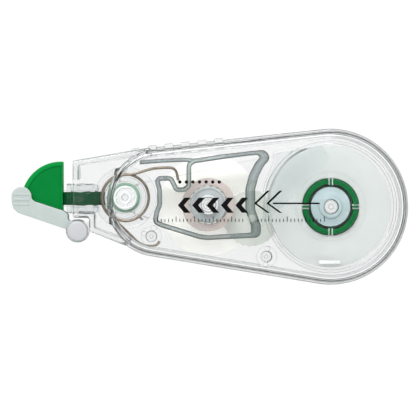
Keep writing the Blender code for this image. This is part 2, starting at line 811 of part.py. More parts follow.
def make_supply_hub():
    bore_r = SUPPLY_POST_R + RUNNING
    low, high = REEL_Z
    profile = [
        (bore_r, low),
        (HUB_DISC_R, low),
        (HUB_DISC_R, high - HUB_STEP),
        (HUB_STEP_R[1], high - HUB_STEP),
        (HUB_STEP_R[0], high),
        (bore_r, high),
    ]
    return lathe("supply_hub", REEL_CENTRE, profile)


def make_supply_core():
    """The green core, with slots in its front edge and a rib in each that keys it to the hub."""
    inner, outer = CORE_R
    low, high = REEL_Z
    core = prism("supply_core", [circle(REEL_CENTRE, outer), circle(REEL_CENTRE, inner)], REEL_Z)
    for i in range(SLOT_COUNT):
        degrees = TURN * i / SLOT_COUNT
        path = [polar(REEL_CENTRE, r, degrees) for r in (inner - GAP, outer + GAP)]
        slot = wall_loops(path, SLOT_WIDTH, False)
        cut(core, prism("slot", slot, (SLOT_FLOOR_Z, high + 1.0)))
        path = [polar(REEL_CENTRE, r, degrees) for r in (HUB_DISC_R + GAP, outer - RUNNING)]
        rib = wall_loops(path, CORE_RIB_WIDTH, False)
        join(core, prism("rib", rib, (low + 0.2, high - 0.2)))
    return core


def make_tape_roll():
    loops = [circle(REEL_CENTRE, ROLL_R[1], 48), circle(REEL_CENTRE, ROLL_R[0])]
    return prism("tape_roll", loops, TAPE_Z)


def make_supply_front_flange():
    loops = [circle(REEL_CENTRE, SUPPLY_FLANGE_R, 48), circle(REEL_CENTRE, ROLL_R[0])]
    return prism("supply_front_flange", loops, SUPPLY_FLANGE_Z)


# Take-up reel.


def make_takeup_disc():
    loops = [circle(TAKEUP_CENTRE, TAKEUP_DISC_R, 48)]
    loops.append(circle(TAKEUP_CENTRE, TAKEUP_POST_R + RUNNING, SMALL_SIDES))
    return prism("takeup_disc", loops, TAKEUP_DISC_Z)


def make_clutch_ring():
    """The sprung ring that drags the core round until the spent tape is tight."""
    inner, outer = CLUTCH_R
    return prism("clutch_ring", [circle(TAKEUP_CENTRE, outer), circle(TAKEUP_CENTRE, inner)], CLUTCH_Z)


def make_takeup_core():
    inner, outer = TAKEUP_CORE_R
    low, high = REEL_Z
    bore_r = TAKEUP_POST_R + RUNNING
    profile = [
        (inner, low),
        (outer, low),
        (outer, high),
        (TAKEUP_TOP_R, high),
        (TAKEUP_TOP_R, TAKEUP_TOP_Z),
        (bore_r, TAKEUP_TOP_Z),
        (bore_r, TAKEUP_CORE_STEP_Z),
        (inner, TAKEUP_CORE_STEP_Z),
    ]
    return lathe("takeup_core", TAKEUP_CENTRE, profile)


def make_spent_tape_roll():
    inner, outer = SPENT_ROLL_R
    return prism("spent_tape_roll", [circle(TAKEUP_CENTRE, outer), circle(TAKEUP_CENTRE, inner)], TAPE_Z)


# Materials and bodies.

# Name: (base colour, roughness, metallic, transmission), then the nodes that have it.
MATERIALS = {
    "clear_plastic": ((0.90, 0.92, 0.92), 0.08, 0.0, 0.9),
    "tinted_plastic": ((0.55, 0.68, 0.69), 0.12, 0.0, 0.8),
    "green_plastic": ((0.0, 0.34, 0.10), 0.30, 0.0, 0.0),
    "pale_green_plastic": ((0.62, 0.78, 0.66), 0.30, 0.0, 0.0),
    "grey_plastic": ((0.42, 0.45, 0.43), 0.40, 0.0, 0.0),
    "blue_grey_plastic": ((0.46, 0.58, 0.60), 0.35, 0.0, 0.0),
    "cream_plastic": ((0.91, 0.90, 0.82), 0.40, 0.0, 0.0),
    "smoke_plastic": ((0.58, 0.66, 0.64), 0.30, 0.0, 0.3),
    "knob_plastic": ((0.65, 0.66, 0.68), 0.35, 0.0, 0.0),
    "white_plastic": ((0.84, 0.85, 0.85), 0.40, 0.0, 0.0),
    "tape": ((0.73, 0.75, 0.74), 0.60, 0.0, 0.0),
    "spring_steel": ((0.25, 0.19, 0.15), 0.35, 1.0, 0.0),
}

NODE_MATERIALS = {
    "back_shell": "clear_plastic",
    "front_shell": "clear_plastic",
    "guard_arm": "smoke_plastic",
    "guard_pin": "knob_plastic",
    "guard_pin_cap": "knob_plastic",
    "transfer_head": "green_plastic",
    "head_holder": "clear_plastic",
    "pivot_hub": "clear_plastic",
    "pivot_ring": "pale_green_plastic",
    "head_return_spring": "spring_steel",
    "tape_ribbon": "tape",
    "inner_frame": "tinted_plastic",
    "supply_gear": "white_plastic",
    "idler_gear": "grey_plastic",
    "takeup_gear": "white_plastic",
    "supply_hub": "blue_grey_plastic",
    "supply_core": "green_plastic",
    "tape_roll": "tape",
    "supply_front_flange": "clear_plastic",
    "takeup_disc": "cream_plastic",
    "clutch_ring": "spring_steel",
    "takeup_core": "white_plastic",
    "spent_tape_roll": "tape",
}

# Joint axes, and the nodes that turn on each of them.
MOVING_BODIES = {
    "guard": (GUARD_PIVOT, ("guard_arm", "guard_pin", "guard_pin_cap")),
    "head": (PIVOT, ("transfer_head", "head_holder", "pivot_ring")),
    "supply_reel": (
        REEL_CENTRE,
        ("supply_gear", "supply_hub", "supply_core", "tape_roll", "supply_front_flange"),
    ),
    "idler": (IDLER_CENTRE, ("idler_gear",)),
    "takeup_drive": (TAKEUP_CENTRE, ("takeup_gear", "takeup_disc")),
    "takeup_reel": (TAKEUP_CENTRE, ("clutch_ring", "takeup_core", "spent_tape_roll")),
}


def make_material(name):
    colour, roughness, metallic, transmission = MATERIALS[name]
    material = bpy.data.materials.new(name)
    material.use_nodes = True
    shader = material.node_tree.nodes["Principled BSDF"]
    shader.inputs["Base Color"].default_value = (*colour, 1.0)
    shader.inputs["Roughness"].default_value = roughness
    shader.inputs["Metallic"].default_value = metallic
    shader.inputs["Transmission Weight"].default_value = transmission
    return material


def finish_surfaces():
    materials = {name: make_material(name) for name in MATERIALS}
    for node, material in NODE_MATERIALS.items():
        mesh = bpy.data.objects[node].data
        mesh.name = node
        mesh.materials.clear()
        mesh.materials.append(materials[material])
        mesh.shade_smooth()
        mesh.set_sharp_from_angle(angle=SMOOTH_BELOW)


def hang_on_axes():
    """Parents each moving piece to an empty on its joint's axis."""
    for body, (centre, nodes) in MOVING_BODIES.items():
        axis = bpy.data.objects.new(body + "_axis", None)
        axis.location = (centre[0] * MM, centre[1] * MM, 0.0)
        bpy.context.scene.collection.objects.link(axis)
        for node in nodes:
            piece = bpy.data.objects[node]
            piece.data.transform(Matrix.Translation(-axis.location))
            piece.parent = axis


def main():
    clear_scene()
    make_back_shell()
    make_front_shell()
    make_guard_arm()
    make_guard_pin()
    make_guard_pin_cap()
    make_transfer_head()
    make_head_holder()
    make_pivot_hub()
    make_pivot_ring()
    make_head_return_spring()
    make_tape_ribbon()
    make_inner_frame()
    make_gears()
    make_supply_hub()
    make_supply_core()
    make_tape_roll()
    make_supply_front_flange()
    make_takeup_disc()
    make_clutch_ring()
    make_takeup_core()
    make_spent_tape_roll()
    finish_surfaces()
    hang_on_axes()


main()
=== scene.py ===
"""Looks of the correction tape roller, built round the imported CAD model.

Lengths in this script are millimetres, in the CAD frame (X along the roller with the tip at -X, Y
across it, Z up through its thickness). They are turned into metres when a mesh is made.
"""

import math

import bmesh
import bpy
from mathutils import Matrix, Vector


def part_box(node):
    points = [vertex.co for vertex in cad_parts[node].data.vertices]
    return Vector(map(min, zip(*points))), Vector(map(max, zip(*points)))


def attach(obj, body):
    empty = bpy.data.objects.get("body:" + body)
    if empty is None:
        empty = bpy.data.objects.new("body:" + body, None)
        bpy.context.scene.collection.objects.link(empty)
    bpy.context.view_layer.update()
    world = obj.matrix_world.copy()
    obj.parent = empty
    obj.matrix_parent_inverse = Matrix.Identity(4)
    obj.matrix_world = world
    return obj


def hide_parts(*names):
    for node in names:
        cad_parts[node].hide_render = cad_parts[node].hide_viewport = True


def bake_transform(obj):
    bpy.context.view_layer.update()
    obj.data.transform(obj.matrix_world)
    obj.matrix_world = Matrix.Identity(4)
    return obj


MM = 0.001
TURN = 360.0
SHARP = math.radians(40.0)

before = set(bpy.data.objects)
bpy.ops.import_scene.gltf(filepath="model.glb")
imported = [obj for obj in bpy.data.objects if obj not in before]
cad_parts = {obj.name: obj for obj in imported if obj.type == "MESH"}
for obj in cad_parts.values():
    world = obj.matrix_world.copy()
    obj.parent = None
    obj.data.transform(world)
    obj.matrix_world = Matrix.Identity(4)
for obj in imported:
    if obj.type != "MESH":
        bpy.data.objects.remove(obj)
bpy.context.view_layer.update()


def node_box(node):
    """The lowest and highest corner of a CAD node, in millimetres."""
    low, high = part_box(node)
    return low / MM, high / MM


def node_centre(node):
    low, high = node_box(node)
    return ((low.x + high.x) / 2.0, (low.y + high.y) / 2.0)


def node_heights(node):
    low, high = node_box(node)
    return (low.z, high.z)


# Places that come from the frame.

REEL = node_centre("tape_roll")
TAKEUP = node_centre("takeup_disc")
IDLER = node_centre("idler_gear")
PIVOT = node_centre("pivot_hub")
KNOB = node_centre("guard_pin")
ROLL_R = (node_box("tape_roll")[1].x - node_box("tape_roll")[0].x) / 2.0
TAPE_Z = node_heights("tape_roll")
TOP_Z = node_heights("front_shell")[1]
GEAR_Z = node_heights("supply_gear")

# Sizes that part.py and this script share.

CASE_END_R = (19.1, 13.5)
CASE_EDGE_R = 1.6
GRIP = (-12.3, 1.15)
BODY_DEPTH = 0.6
WALL_DEPTH = 1.7
FACE_WALL = 1.3
LIP_Z = (7.1, 8.9)
PARTING = (7.94, 8.06)
NOSE_Z = (1.5, 14.5)
NOSE_WALL = 1.2
NOSE_FRONT_X = -33.5
NOSE_TOP_DEG = 99.8
MOUTH_Y = (-1.8, 6.6)
EAR_R = 2.85
EAR_Z = (4.3, 11.7)
PIN_R = 1.05
PEGS = ((-14.3, -7.2), (13.7, -12.1))
HEAD_ARC = (-36.44, 1.35)
HEAD_ARC_R = 9.68
HEAD_TIP = (-46.05, 2.45)
HEAD_HEEL = (-36.05, -0.9)
HEAD_Z = (4.3, 11.7)
RECESS_DEPTH = 0.45
TIP_CENTRE = (-45.8, 2.45)
TIP_R = 0.25
STEM_Y = (0.4, 3.6)
STEM_Z = (5.5, 10.5)
STEM_BACK_X = -25.5
GUARD_NOSE = (-46.05, 2.45)
GUARD_NOSE_R = 2.45
CHEEK_Z = ((3.0, 3.95), (12.05, 13.0))
KNOB_R = 2.43
COIL_R = 5.7
WIRE_R = 0.33
COIL_Z = (11.65, 12.65)
FRAME_Z = (11.7, 14.4)
SPENT_R = (4.75, 6.5)
SUPPLY_TEETH = 52
IDLER_TEETH = 26
TAKEUP_TEETH = 18
GEAR_MODULE = 0.5
IDLER_TOP_Z = 4.8
SLOT_COUNT = 4


# Outlines: lists of (x, y) points that run anticlockwise.


def polar(centre, radius, degrees):
    angle = math.radians(degrees)
    return (centre[0] + radius * math.cos(angle), centre[1] + radius * math.sin(angle))


def arc(centre, radius, start, end, steps):
    return [polar(centre, radius, start + (end - start) * i / steps) for i in range(steps + 1)]


def circle(centre, radius, sides=96):
    return arc(centre, radius, 0.0, TURN, sides)[:-1]


def rectangle(x_range, y_range, corner=0.0):
    (x0, x1), (y0, y1) = x_range, y_range
    corners = [(x0, y0), (x1, y0), (x1, y1), (x0, y1)]
    return round_corners(corners, corner, True) if corner else corners


def unit(a, b):
    length = math.dist(a, b)
    return ((b[0] - a[0]) / length, (b[1] - a[1]) / length)


def corner_offset(before, point, after, distance):
    """The point moved to its left by a distance from both of the lines that meet there."""
    d0 = unit(before, point)
    d1 = unit(point, after)
    nx = -d0[1] - d1[1]
    ny = d0[0] + d1[0]
    scale = distance * 2.0 / (nx * nx + ny * ny)
    return (point[0] + nx * scale, point[1] + ny * scale)


def inset(outline, distance):
    count = len(outline)
    return [
        corner_offset(outline[i - 1], outline[i], outline[(i + 1) % count], distance)
        for i in range(count)
    ]


def round_corners(points, radius, closed, steps=6):
    """The path with each corner turned into an arc-like curve of about that radius."""
    count = len(points)
    result = []
    for i, point in enumerate(points):
        if not closed and i in (0, count - 1):
            result.append(point)
            continue
        before, after = points[i - 1], points[(i + 1) % count]
        d0, d1 = unit(point, before), unit(point, after)
        cos_angle = max(-1.0, min(1.0, d0[0] * d1[0] + d0[1] * d1[1]))
        half = math.acos(cos_angle) / 2.0
        reach = radius / max(math.tan(half), 1e-6)
        reach = min(reach, 0.48 * math.dist(point, before), 0.48 * math.dist(point, after))
        a = (point[0] + d0[0] * reach, point[1] + d0[1] * reach)
        b = (point[0] + d1[0] * reach, point[1] + d1[1] * reach)
        for k in range(steps + 1):
            t = k / steps
            w0, w1, w2 = (1 - t) ** 2, 2 * t * (1 - t), t * t
            x = w0 * a[0] + w1 * point[0] + w2 * b[0]
            y = w0 * a[1] + w1 * point[1] + w2 * b[1]
            result.append((x, y))
    return result


def wall_loops(path, thickness, closed):
    """The outline of a wall along a path, and its hole where the path is closed."""
    half = thickness / 2.0
    if closed:
        return [inset(path, -half), inset(path, half)]
    ahead = unit(path[0], path[1])
    behind = unit(path[-2], path[-1])
    start = (path[0][0] - ahead[0], path[0][1] - ahead[1])
    end = (path[-1][0] + behind[0], path[-1][1] + behind[1])
    padded = [start, *path, end]
    sides = [
        [corner_offset(*padded[i - 1 : i + 2], side) for i in range(1, len(padded) - 1)]
        for side in (-half, half)
    ]
    return [sides[0] + sides[1][::-1]]


def case_tangents():
    """The directions, in degrees, from the end arcs' centres to the upper and lower straight side."""
    base = math.degrees(math.atan2(REEL[1] - GRIP[1], REEL[0] - GRIP[0]))
    spread = math.degrees(math.acos((CASE_END_R[1] - CASE_END_R[0]) / math.dist(GRIP, REEL)))
    return base + spread, base - spread


def case_outline(depth):
    """The outline of the thick part of the case, at a depth inside its outer lip."""
    upper, lower = case_tangents()
    reel_end = arc(REEL, CASE_END_R[0] - depth, lower, upper, 96)
    grip_end = arc(GRIP, CASE_END_R[1] - depth, upper, lower + TURN, 64)
    return reel_end + grip_end


def nose_outline(depth=0.0):
    corners = [
        (NOSE_FRONT_X, 11.2),
        (NOSE_FRONT_X, -2.7),
        (-29.5, -2.7),
        (-29.5, -6.0),
        (-20.5, -9.55),
        (-14.6, -6.0),
        (-13.0, 10.0),
        polar(GRIP, CASE_END_R[1], NOSE_TOP_DEG),
    ]
    return round_corners(inset(corners, depth), 0.7, True)


# Solids.


def new_object(name, bm):
    bmesh.ops.recalc_face_normals(bm, faces=bm.faces)
    mesh = bpy.data.meshes.new(name)
    bm.to_mesh(mesh)
    bm.free()
    obj = bpy.data.objects.new(name, mesh)
    bpy.context.scene.collection.objects.link(obj)
    return obj


def add_loop(bm, outline, z):
    return [bm.verts.new((x * MM, y * MM, z * MM)) for x, y in outline]


def add_side(bm, low, high):
    count = len(low)
    for i in range(count):
        j = (i + 1) % count
        bm.faces.new((low[i], low[j], high[j], high[i]))


def edge_rows(z_range, edge, steps):
    """(depth, z) rows of a wall with rounded edges at its two ends."""
    low, high = z_range
    if edge == 0.0:
        return [(0.0, low), (0.0, high)]
    rows = []
    for i in range(steps + 1):
        angle = math.radians(90.0 * i / steps)
        rows.append((edge * (1.0 - math.sin(angle)), edge * (1.0 - math.cos(angle))))
    return [(d, low + r) for d, r in rows] + [(d, high - r) for d, r in rows[::-1]]


def slab(name, loops, z_range, edge=0.15, steps=3):
    """A plate with rounded edges. The first loop is its outline, and the others are holes."""
    bm = bmesh.new()
    rows = edge_rows(z_range, edge, steps)
    first, last = [], []
    for index, loop in enumerate(loops):
        sign = 1.0 if index == 0 else -1.0
        rings = [add_loop(bm, inset(loop, sign * d) if d else loop, z) for d, z in rows]
        for low, high in zip(rings, rings[1:]):
            add_side(bm, low, high)
        first.append(rings[0])
        last.append(rings[-1])
    for ends in (first, last):
        edges = []
        for ring in ends:
            edges += [bm.edges.get(pair) for pair in zip(ring, ring[1:] + ring[:1])]
        bmesh.ops.triangle_fill(bm, use_beauty=True, edges=edges)
    return new_object(name, bm)


def loft(name, rows):
    """A solid through (outline, z) rows that all have the same number of points."""
    bm = bmesh.new()
    rings = [add_loop(bm, outline, z) for outline, z in rows]
    for low, high in zip(rings, rings[1:]):
        add_side(bm, low, high)
    bm.faces.new(rings[0][::-1])
    bm.faces.new(rings[-1])
    return new_object(name, bm)


def lathe(name, centre, profile, sides=96):
    """A turned solid. The profile is a closed list of (radius, z), and radius 0 is on the axis."""
    bm = bmesh.new()
    rings = []
    for radius, z in profile:
        if radius == 0.0:
            rings.append([bm.verts.new((centre[0] * MM, centre[1] * MM, z * MM))] * sides)
        else:
            rings.append(add_loop(bm, circle(centre, radius, sides), z))
    for low, high in zip(rings, rings[1:] + rings[:1]):
        for i in range(sides):
            j = (i + 1) % sides
            corners = list(dict.fromkeys((low[i], low[j], high[j], high[i])))
            if len(corners) > 2:
                bm.faces.new(corners)
    return new_object(name, bm)


def ring(name, centre, radii, z_range, edge=0.12, sides=96):
    """A flat ring with rounded edges. An inner radius of 0 makes a disc."""
    inner, outer = radii
    low, high = z_range
    curve = [(edge * (1.0 - math.cos(a)), edge * (1.0 - math.sin(a))) for a in
             (math.radians(30.0 * i) for i in range(4))]
    profile = [(outer - d, low + r) for r, d in curve]
    profile += [(outer - d, high - r) for r, d in curve[::-1]]
    if inner:
        profile += [(inner + d, high - r) for r, d in curve]
        profile += [(inner + d, low + r) for r, d in curve[::-1]]
    else:
        profile += [(0.0, high), (0.0, low)]
    return lathe(name, centre, profile, sides)


def tube(name, path, radius, sides=16):
    """A round wire along a path of (x, y, z) points, with flat ends."""
    points = [Vector(point) for point in path]
    bm = bmesh.new()
    side = Vector((0.0, 0.0, 1.0))
    rings = []
    for i, point in enumerate(points):
        ahead = points[min(i + 1, len(points) - 1)] - points[max(i - 1, 0)]
        side = (side - ahead * (side.dot(ahead) / ahead.dot(ahead))).normalized()
        across = ahead.normalized().cross(side)
        row = []
        for k in range(sides):
            angle = math.tau * k / sides
            where = point + (side * math.cos(angle) + across * math.sin(angle)) * radius
            row.append(bm.verts.new(where * MM))
        rings.append(row)
    for low, high in zip(rings, rings[1:]):
        add_side(bm, low, high)
    bm.faces.new(rings[0][::-1])
    bm.faces.new(rings[-1])
    return new_object(name, bm)


def combine(target, others, operation):
    """Joins the others to the target, or cuts them from it, and removes them."""
    for other in others:
        modifier = target.modifiers.new(operation, "BOOLEAN")
        modifier.operation = operation
        modifier.solver = "EXACT"
        modifier.object = other
        bpy.context.view_layer.update()
        graph = bpy.context.evaluated_depsgraph_get()
        result = bpy.data.meshes.new_from_object(target.evaluated_get(graph))
        if not result.polygons:
            raise RuntimeError(f"{operation} of {target.name} and {other.name} left nothing")
        target.modifiers.clear()
        target.data = result
        bpy.data.objects.remove(other, do_unlink=True)
    return target


def join(target, *others):
    return combine(target, others, "UNION")


def cut(target, *others):
    return combine(target, others, "DIFFERENCE")


# Materials.


def linear(hex_colour):
    """A display colour, such as "DEE0DF", as linear red, green and blue."""
    values = [int(hex_colour[i : i + 2], 16) / 255.0 for i in (0, 2, 4)]
    return tuple(v / 12.92 if v <= 0.04045 else ((v + 0.055) / 1.055) ** 2.4 for v in values)


def node(tree, kind, **inputs):
    made = tree.nodes.new(kind)
    for name, value in inputs.items():
        made.inputs[name.replace("_", " ")].default_value = value
    return made


def noise(tree, scale, detail=2.0):
    """Noise over the object, at a scale in lumps per metre."""
    place = tree.nodes.new("ShaderNodeTexCoord")
    made = node(tree, "ShaderNodeTexNoise", Scale=scale, Detail=detail)
    tree.links.new(place.outputs["Object"], made.inputs["Vector"])
    return made


def between(tree, factor, low, high):
    """A number that follows a factor from low to high."""
    made = node(tree, "ShaderNodeMapRange", To_Min=low, To_Max=high)
    tree.links.new(factor, made.inputs["Value"])
    return made.outputs["Result"]


def blend_colours(tree, factor, first, second):
    made = tree.nodes.new("ShaderNodeMix")
    made.data_type = "RGBA"
    made.inputs[6].default_value = (*first, 1.0)
    made.inputs[7].default_value = (*second, 1.0)
    tree.links.new(factor, made.inputs[0])
    return made.outputs[2]


def bump(tree, height, strength, distance):
    made = node(tree, "ShaderNodeBump", Strength=strength, Distance=distance)
    tree.links.new(height, made.inputs["Height"])
    return made.outputs["Normal"]


def start_material(name):
    material = bpy.data.materials.new(name)
    material.use_nodes = True
    tree = material.node_tree
    return material, tree, tree.nodes["Principled BSDF"]


def moulded(name, colour, shade, roughness, gloss=0.5, subsurface=0.0, painted_glow=0.0):
    """Moulded plastic: two close colours in soft flow patches, with a fine skin, and a painted glow
    in its own colour where one is given.
    """
    material, tree, shader = start_material(name)
    patches = noise(tree, 300.0)
    skin = noise(tree, 9000.0, 3.0)
    colours = blend_colours(tree, patches.outputs["Fac"], linear(shade), linear(colour))
    tree.links.new(colours, shader.inputs["Base Color"])
    rough = between(tree, patches.outputs["Fac"], roughness * 0.8, roughness * 1.25)
    tree.links.new(rough, shader.inputs["Roughness"])
    normal = bump(tree, skin.outputs["Fac"], 0.12, 0.00002)
    tree.links.new(normal, shader.inputs["Normal"])
    shader.inputs["IOR"].default_value = 1.5
    shader.inputs["Specular IOR Level"].default_value = gloss
    shader.inputs["Subsurface Weight"].default_value = subsurface
    shader.inputs["Subsurface Radius"].default_value = (1.0, 1.0, 0.9)
    shader.inputs["Subsurface Scale"].default_value = 0.0015
    # Emission in the plastic's own colour is painted light, a glow with no lamp in it.
    shader.inputs["Emission Color"].default_value = (*linear(colour), 1.0)
    shader.inputs["Emission Strength"].default_value = painted_glow
    return material


def clear(name, tint, edge, power, absorb, density, roughness=0.02):
    """Clear plastic that turns to a darker edge colour at glancing angles, which is painted shade, is
    darker in its depth, and casts no shadow.
    """
    material, tree, shader = start_material(name)
    ripple = noise(tree, 260.0, 1.0)
    # Blending the tint to the edge colour by how glancing the surface is paints shade along edges and
    # walls.
    lean = tree.nodes.new("ShaderNodeLayerWeight")
    lean.inputs["Blend"].default_value = 0.5
    steep = tree.nodes.new("ShaderNodeMath")
    steep.operation = "POWER"
    steep.inputs[1].default_value = power
    tree.links.new(lean.outputs["Facing"], steep.inputs[0])
    colours = blend_colours(tree, steep.outputs[0], linear(tint), linear(edge))
    tree.links.new(colours, shader.inputs["Base Color"])
    rough = between(tree, noise(tree, 900.0).outputs["Fac"], roughness * 0.5, roughness * 1.6)
    tree.links.new(rough, shader.inputs["Roughness"])
    normal = bump(tree, ripple.outputs["Fac"], 0.15, 0.00008)
    tree.links.new(normal, shader.inputs["Normal"])
    shader.inputs["Transmission Weight"].default_value = 1.0
    shader.inputs["IOR"].default_value = 1.49
    through = tree.nodes.new("ShaderNodeBsdfTransparent")
    through.inputs["Color"].default_value = (1.0, 1.0, 1.0, 1.0)
    path = tree.nodes.new("ShaderNodeLightPath")
    mix = tree.nodes.new("ShaderNodeMixShader")
    tree.links.new(path.outputs["Is Shadow Ray"], mix.inputs[0])
    tree.links.new(shader.outputs[0], mix.inputs[1])
    tree.links.new(through.outputs[0], mix.inputs[2])
    output = tree.nodes["Material Output"]
    tree.links.new(mix.outputs[0], output.inputs["Surface"])
    depth = tree.nodes.new("ShaderNodeVolumeAbsorption")
    depth.inputs["Color"].default_value = (*linear(absorb), 1.0)
    depth.inputs["Density"].default_value = density
    tree.links.new(depth.outputs[0], output.inputs["Volume"])
    return material


def wound(name, centre, colour, shade, scale):
    """The edges of a wound tape: fine rings round a centre, with a soft mottle over them."""
    material, tree, shader = start_material(name)
    place = tree.nodes.new("ShaderNodeTexCoord")
    shift = tree.nodes.new("ShaderNodeVectorMath")
    shift.operation = "SUBTRACT"
    shift.inputs[1].default_value = (centre[0] * MM, centre[1] * MM, 0.0)
    tree.links.new(place.outputs["Object"], shift.inputs[0])
    flat = tree.nodes.new("ShaderNodeVectorMath")
    flat.operation = "MULTIPLY"
    flat.inputs[1].default_value = (1.0, 1.0, 0.0)
    tree.links.new(shift.outputs[0], flat.inputs[0])
    radius = tree.nodes.new("ShaderNodeVectorMath")
    radius.operation = "LENGTH"
    tree.links.new(flat.outputs[0], radius.inputs[0])
    rings = node(tree, "ShaderNodeTexNoise", Scale=scale, Detail=3.0)
    rings.noise_dimensions = "1D"
    tree.links.new(radius.outputs["Value"], rings.inputs["W"])
    mottle = noise(tree, 220.0, 3.0)
    blend = tree.nodes.new("ShaderNodeMath")
    blend.operation = "ADD"
    tree.links.new(between(tree, rings.outputs["Fac"], -0.35, 0.35), blend.inputs[0])
    tree.links.new(mottle.outputs["Fac"], blend.inputs[1])
    blend.use_clamp = True
    colours = blend_colours(tree, blend.outputs[0], linear(shade), linear(colour))
    tree.links.new(colours, shader.inputs["Base Color"])
    tree.links.new(bump(tree, rings.outputs["Fac"], 0.25, 0.00003), shader.inputs["Normal"])
    shader.inputs["Roughness"].default_value = 0.55
    return material


def drawn_wire(name, colour, shade):
    material, tree, shader = start_material(name)
    streaks = noise(tree, 1500.0, 3.0)
    colours = blend_colours(tree, streaks.outputs["Fac"], linear(shade), linear(colour))
    tree.links.new(colours, shader.inputs["Base Color"])
    tree.links.new(between(tree, streaks.outputs["Fac"], 0.25, 0.42), shader.inputs["Roughness"])
    tree.links.new(bump(tree, streaks.outputs["Fac"], 0.2, 0.00002), shader.inputs["Normal"])
    shader.inputs["Metallic"].default_value = 0.85
    return material


def printed(name, colour):
    """Screen-printed ink, a little uneven at its edges."""
    material, tree, shader = start_material(name)
    grain = noise(tree, 5000.0, 2.0)
    colours = blend_colours(tree, grain.outputs["Fac"], linear(colour), linear("0C0C0E"))
    tree.links.new(colours, shader.inputs["Base Color"])
    tree.links.new(between(tree, grain.outputs["Fac"], 0.35, 0.6), shader.inputs["Roughness"])
    shader.inputs["Specular IOR Level"].default_value = 0.1
    return material


# The second colour of each clear plastic is painted shade at glancing angles.
CLEAR = clear("clear_case", "FFFFFF", "728488", 1.3, "B9C8C6", 16.0)
CLEAR_SMALL = clear("clear_small", "FEFFFF", "3E5659", 0.9, "9FB4B2", 40.0)
FLANGE = clear("clear_flange", "FEFFFF", "7A878A", 1.4, "B9C8C6", 12.0, 0.06)
# The near-black edge colour is painted shade; the teal comes from absorption in the plastic.
TEAL = clear("teal_with_painted_edge_shade", "EDF4F4", "000405", 0.2, "4F7C80", 170.0)
WINDOW = clear("tinted_window", "FAFCFC", "8AA0A2", 1.5, "8FADB0", 200.0)
GREEN = moulded("green_head", "009843", "00913F", 0.32, 0.12)
# The recess green is a darker copy of the head's green: painted shade for the recess floors.
RECESS_PAINTED_SHADE = moulded("green_recess_painted_shade", "008539", "007E35", 0.36, 0.1)
DARK_GREEN = moulded("green_core", "006E36", "006832", 0.3, 0.12)
# The stem green is a darker copy of the head's green: painted shade for the stem's deeper place.
STEM_PAINTED_SHADE = moulded("green_stem_painted_shade", "00502A", "004424", 0.3, 0.08)
SMOKE = moulded("guard_plastic", "C8D2CF", "BFCAC7", 0.3, 0.5, 0.25)
KNOB_GREY = moulded("knob_plastic", "CFD0D3", "C8C9CD", 0.35, 0.5, 0.2)
PALE_GREEN = moulded("pale_green", "8CAE9B", "82A592", 0.3)
# The grey gear plastic has a painted glow, which brightens the idler and its post deep in the case.
GREY_PAINTED_GLOW = moulded("grey_gear_painted_glow", "D2D6D0", "C9CDC7", 0.4, 0.5, 0.0, 0.25)
BLUE_GREY = moulded("blue_grey_hub", "BCCFD1", "B0C4C7", 0.3)
# The cream disc has a painted glow on top of its subsurface light, to brighten it deep in the case.
CREAM_PAINTED_GLOW = moulded("cream_disc_painted_glow", "FFFEF6", "FCFAEE", 0.45, 0.5, 0.8, 0.2)
WHITE = moulded("white_plastic", "F4F5F5", "EBEDED", 0.4)
FROSTED = moulded("frosted_plastic", "FAFBFB", "DDE4E3", 0.2, 0.5, 0.15)
CORE_GREY = moulded("core_grey", "C3C9CA", "B6BDBF", 0.35)
TAPE = wound("tape_edges", REEL, "E4E6E4", "D6DAD8", 5200.0)
SPENT = wound("spent_edges", TAKEUP, "DDD0CB", "CFC3BF", 6000.0)
RIBBON = moulded("ribbon_film", "E6E8E6", "DADEDC", 0.5)
STEEL = drawn_wire("spring_wire", "B3A696", "75685A")
INK = printed("black_ink", "050506")


def put(obj, material, body, slot, *nodes):
    """Gives a piece its material and body, and hides the CAD nodes it stands for."""
    mesh = obj.data
    mesh.materials.clear()
    mesh.materials.append(material)
    for polygon in mesh.polygons:
        polygon.material_index = 0
    mesh.shade_smooth()
    mesh.set_sharp_from_angle(angle=SHARP)
    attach(obj, body)
    if nodes:
        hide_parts(*nodes)
    return obj


# Case.


def case_rows(outline_depth, z_range, edge, steps):
    return [(case_outline(outline_depth + d), z) for d, z in edge_rows(z_range, edge, steps)]


def grip_ribs():
    """Six ribs across the top edge, each square to the outline under it."""
    first_x, pitch, half_width = -18.25, 4.06, 1.05
    root, proud = -1.03, 0.45
    ribs = []
    for i in range(6):
        x = first_x + pitch * i
        lean = NOSE_TOP_DEG if i == 0 else case_tangents()[0]
        foot = polar(GRIP, CASE_END_R[1], lean)
        normal = polar((0.0, 0.0), 1.0, lean)
        along = (-normal[1], normal[0])
        y = foot[1] + along[1] * (x - foot[0]) / along[0]
        corners = []
        for sign, height in ((-1, root), (-1, proud), (1, proud), (1, root)):
            side = sign * half_width
            corners.append(
                (x + along[0] * side + normal[0] * height, y + along[1] * side + normal[1] * height)
            )
        ribs.append(slab("rib", [round_corners(corners, 0.25, True)], (4.02, 12.03), 0.2))
    return ribs


